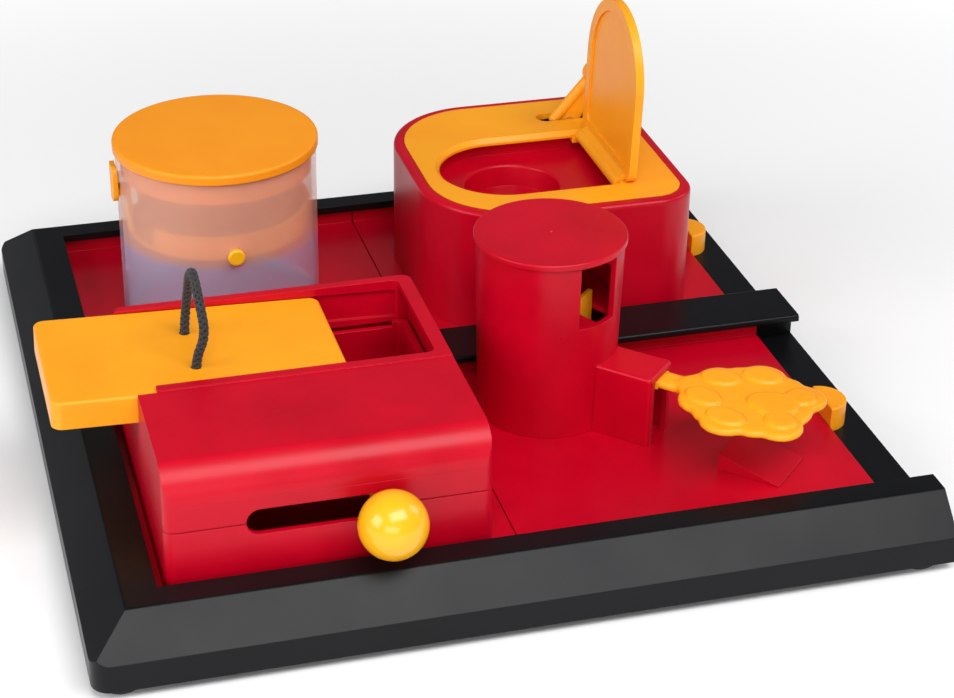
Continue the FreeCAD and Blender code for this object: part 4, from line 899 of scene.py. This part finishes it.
    def build(self) -> bpy.types.Object:
        """Make the paw in place of its node.

        Returns:
            The new piece.
        """
        paw = self.merge([self.plate()] + self.pads(), *self.paw_skin)
        bpy.ops.object.shade_smooth()
        end = self.root_end()
        bpy.ops.object.shade_smooth_by_angle(angle=SMOOTH_ANGLE)
        only(paw, end)
        bpy.ops.object.join()
        paw.name = "paw_lever_soft"
        settle(paw)
        PAINT.dress(paw, ORANGE)
        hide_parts("paw_lever")
        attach(paw, "paw")
        LOG.info("%s with %d faces", paw.name, len(paw.data.polygons))
        return paw


@dataclass
class Tower:
    """The round tower with its cap, shelf, chute, stop ramp and paw."""

    reds: tuple[str, ...] = ("tower_body", "tower_cap", "tower_shelf", "chute_block",
                             "stop_ramp")
    paw: PawLever = field(default_factory=PawLever)

    def build(self) -> None:
        """Dress the tower's solids and model the paw."""
        for node in self.reds:
            SmoothShell(node, RED, Slot.RED).build()
        SmoothShell("paw_axle", STEEL, Slot.STEEL).build()
        self.paw.build()


@dataclass
class Lamp:
    """One soft box that faces the object."""

    name: str
    place: tuple[float, float, float]
    size: tuple[float, float]
    power: float
    aim: tuple[float, float, float] = (0.0, 0.0, 0.04)

    def build(self) -> None:
        """Hang the lamp."""
        data = bpy.data.lights.new(self.name, "AREA")
        data.shape = "RECTANGLE"
        data.size, data.size_y = self.size
        data.energy = self.power
        thing = bpy.data.objects.new(self.name, data)
        bpy.context.scene.collection.objects.link(thing)
        thing.location = self.place
        line = Vector(self.aim) - Vector(self.place)
        thing.rotation_euler = line.to_track_quat("-Z", "Y").to_euler()


@dataclass
class Studio:
    """The camera, the pale floor and the soft lamps."""

    eye: tuple[float, float, float] = (-0.19900, -0.76125, 0.46643)
    yaw: float = -0.28041
    dip: float = 0.51006
    roll: float = 0.01616
    focal_px: float = 2259.57
    image_width: float = 954.0
    film: float = 36.0
    floor_reach: float = 3.0
    shadow_reach: float = 0.2
    white_from: float = 0.55
    room_light: float = 0.17
    lamps: tuple[Lamp, ...] = (
        Lamp("main_softbox", (0.15, -0.75, 1.2), (1.3, 0.7), 17.0),
        Lamp("left_softbox", (-1.35, -0.35, 0.75), (0.9, 0.8), 10.5),
        Lamp("front_softbox", (-0.5, -1.5, 0.5), (1.2, 0.5), 6.5),
        Lamp("right_softbox", (1.4, 0.1, 0.9), (0.6, 0.8), 4.0),
    )

    def camera(self) -> bpy.types.Object:
        """Set the camera where the photograph was taken from.

        Returns:
            The camera.
        """
        data = bpy.data.cameras.new("photo_camera")
        data.sensor_width = self.film
        data.lens = self.film * self.focal_px / self.image_width
        data.clip_start = 0.05
        data.clip_end = 30.0
        thing = bpy.data.objects.new("photo_camera", data)
        bpy.context.scene.collection.objects.link(thing)
        ahead = Vector((-math.sin(self.yaw) * math.cos(self.dip),
                        math.cos(self.yaw) * math.cos(self.dip), -math.sin(self.dip)))
        right = Vector((math.cos(self.yaw), math.sin(self.yaw), 0.0))
        up = right.cross(ahead)
        across = right * math.cos(self.roll) + up * math.sin(self.roll)
        over = up * math.cos(self.roll) - right * math.sin(self.roll)
        turn = Matrix((across, over, -ahead)).transposed().to_4x4()
        thing.matrix_world = Matrix.Translation(self.eye) @ turn
        bpy.context.scene.camera = thing
        return thing

    def floor(self) -> bpy.types.Object:
        """Lay a pale floor that keeps the shadow.

        Returns:
            The floor.
        """
        bpy.ops.object.select_all(action="DESELECT")
        bpy.ops.mesh.primitive_plane_add(size=2 * self.floor_reach, location=(0, 0, 0))
        floor = bpy.context.object
        floor.name = "studio_floor"
        g = Graph("pale_floor")
        shader = g.add("ShaderNodeBsdfPrincipled", Roughness=0.9)
        shader.inputs["Base Color"].default_value = (0.95, 0.95, 0.95, 1)
        shader.inputs["Specular IOR Level"].default_value = 0.1
        white = g.add("ShaderNodeEmission", Strength=1.0)
        reach = g.add("ShaderNodeVectorMath", operation="LENGTH")
        g.link(g.place(1.0), "Vector", reach, "Vector")
        fade = g.add("ShaderNodeMapRange", From_Min=self.shadow_reach, From_Max=self.white_from)
        g.link(reach, "Value", fade, "Value")
        seen = g.add("ShaderNodeMath", operation="MULTIPLY")
        g.link(fade, "Result", seen, 0)
        g.link(g.add("ShaderNodeLightPath"), "Is Camera Ray", seen, 1)
        either = g.add("ShaderNodeMixShader")
        g.link(seen, "Value", either, "Fac")
        g.link(shader, "BSDF", either, 1)
        g.link(white, "Emission", either, 2)
        end = g.add("ShaderNodeOutputMaterial")
        g.link(either, "Shader", end, "Surface")
        floor.data.materials.append(g.material)
        return floor

    def world(self) -> None:
        """Surround the object with even pale light, white where the camera sees it."""
        world = bpy.data.worlds.new("pale_room")
        bpy.context.scene.world = world
        world.use_nodes = True
        tree = world.node_tree
        tree.nodes.clear()
        path = tree.nodes.new("ShaderNodeLightPath")
        seen = tree.nodes.new("ShaderNodeBackground")
        seen.inputs["Strength"].default_value = 1.0
        lit = tree.nodes.new("ShaderNodeBackground")
        lit.inputs["Color"].default_value = (0.94, 0.96, 1.0, 1)
        lit.inputs["Strength"].default_value = self.room_light
        mix = tree.nodes.new("ShaderNodeMixShader")
        end = tree.nodes.new("ShaderNodeOutputWorld")
        tree.links.new(path.outputs["Is Camera Ray"], mix.inputs["Fac"])
        tree.links.new(lit.outputs[0], mix.inputs[1])
        tree.links.new(seen.outputs[0], mix.inputs[2])
        tree.links.new(mix.outputs[0], end.inputs["Surface"])

    def build(self) -> None:
        """Make the camera, floor, world and lamps."""
        self.camera()
        self.floor()
        self.world()
        for lamp in self.lamps:
            lamp.build()
        bpy.context.scene.view_settings.view_transform = "Standard"


def main() -> None:
    """Build the studio, the cord and the sub-assemblies, in order."""
    logging.basicConfig(level=logging.INFO)
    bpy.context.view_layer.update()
    Studio().build()
    PullCord().build()
    for module in (Board(), SlideBox(), Drum(), FlapModule(), Tower()):
        module.build()
        LOG.info("%s done", type(module).__name__)


if __name__ == "__main__":
    main()
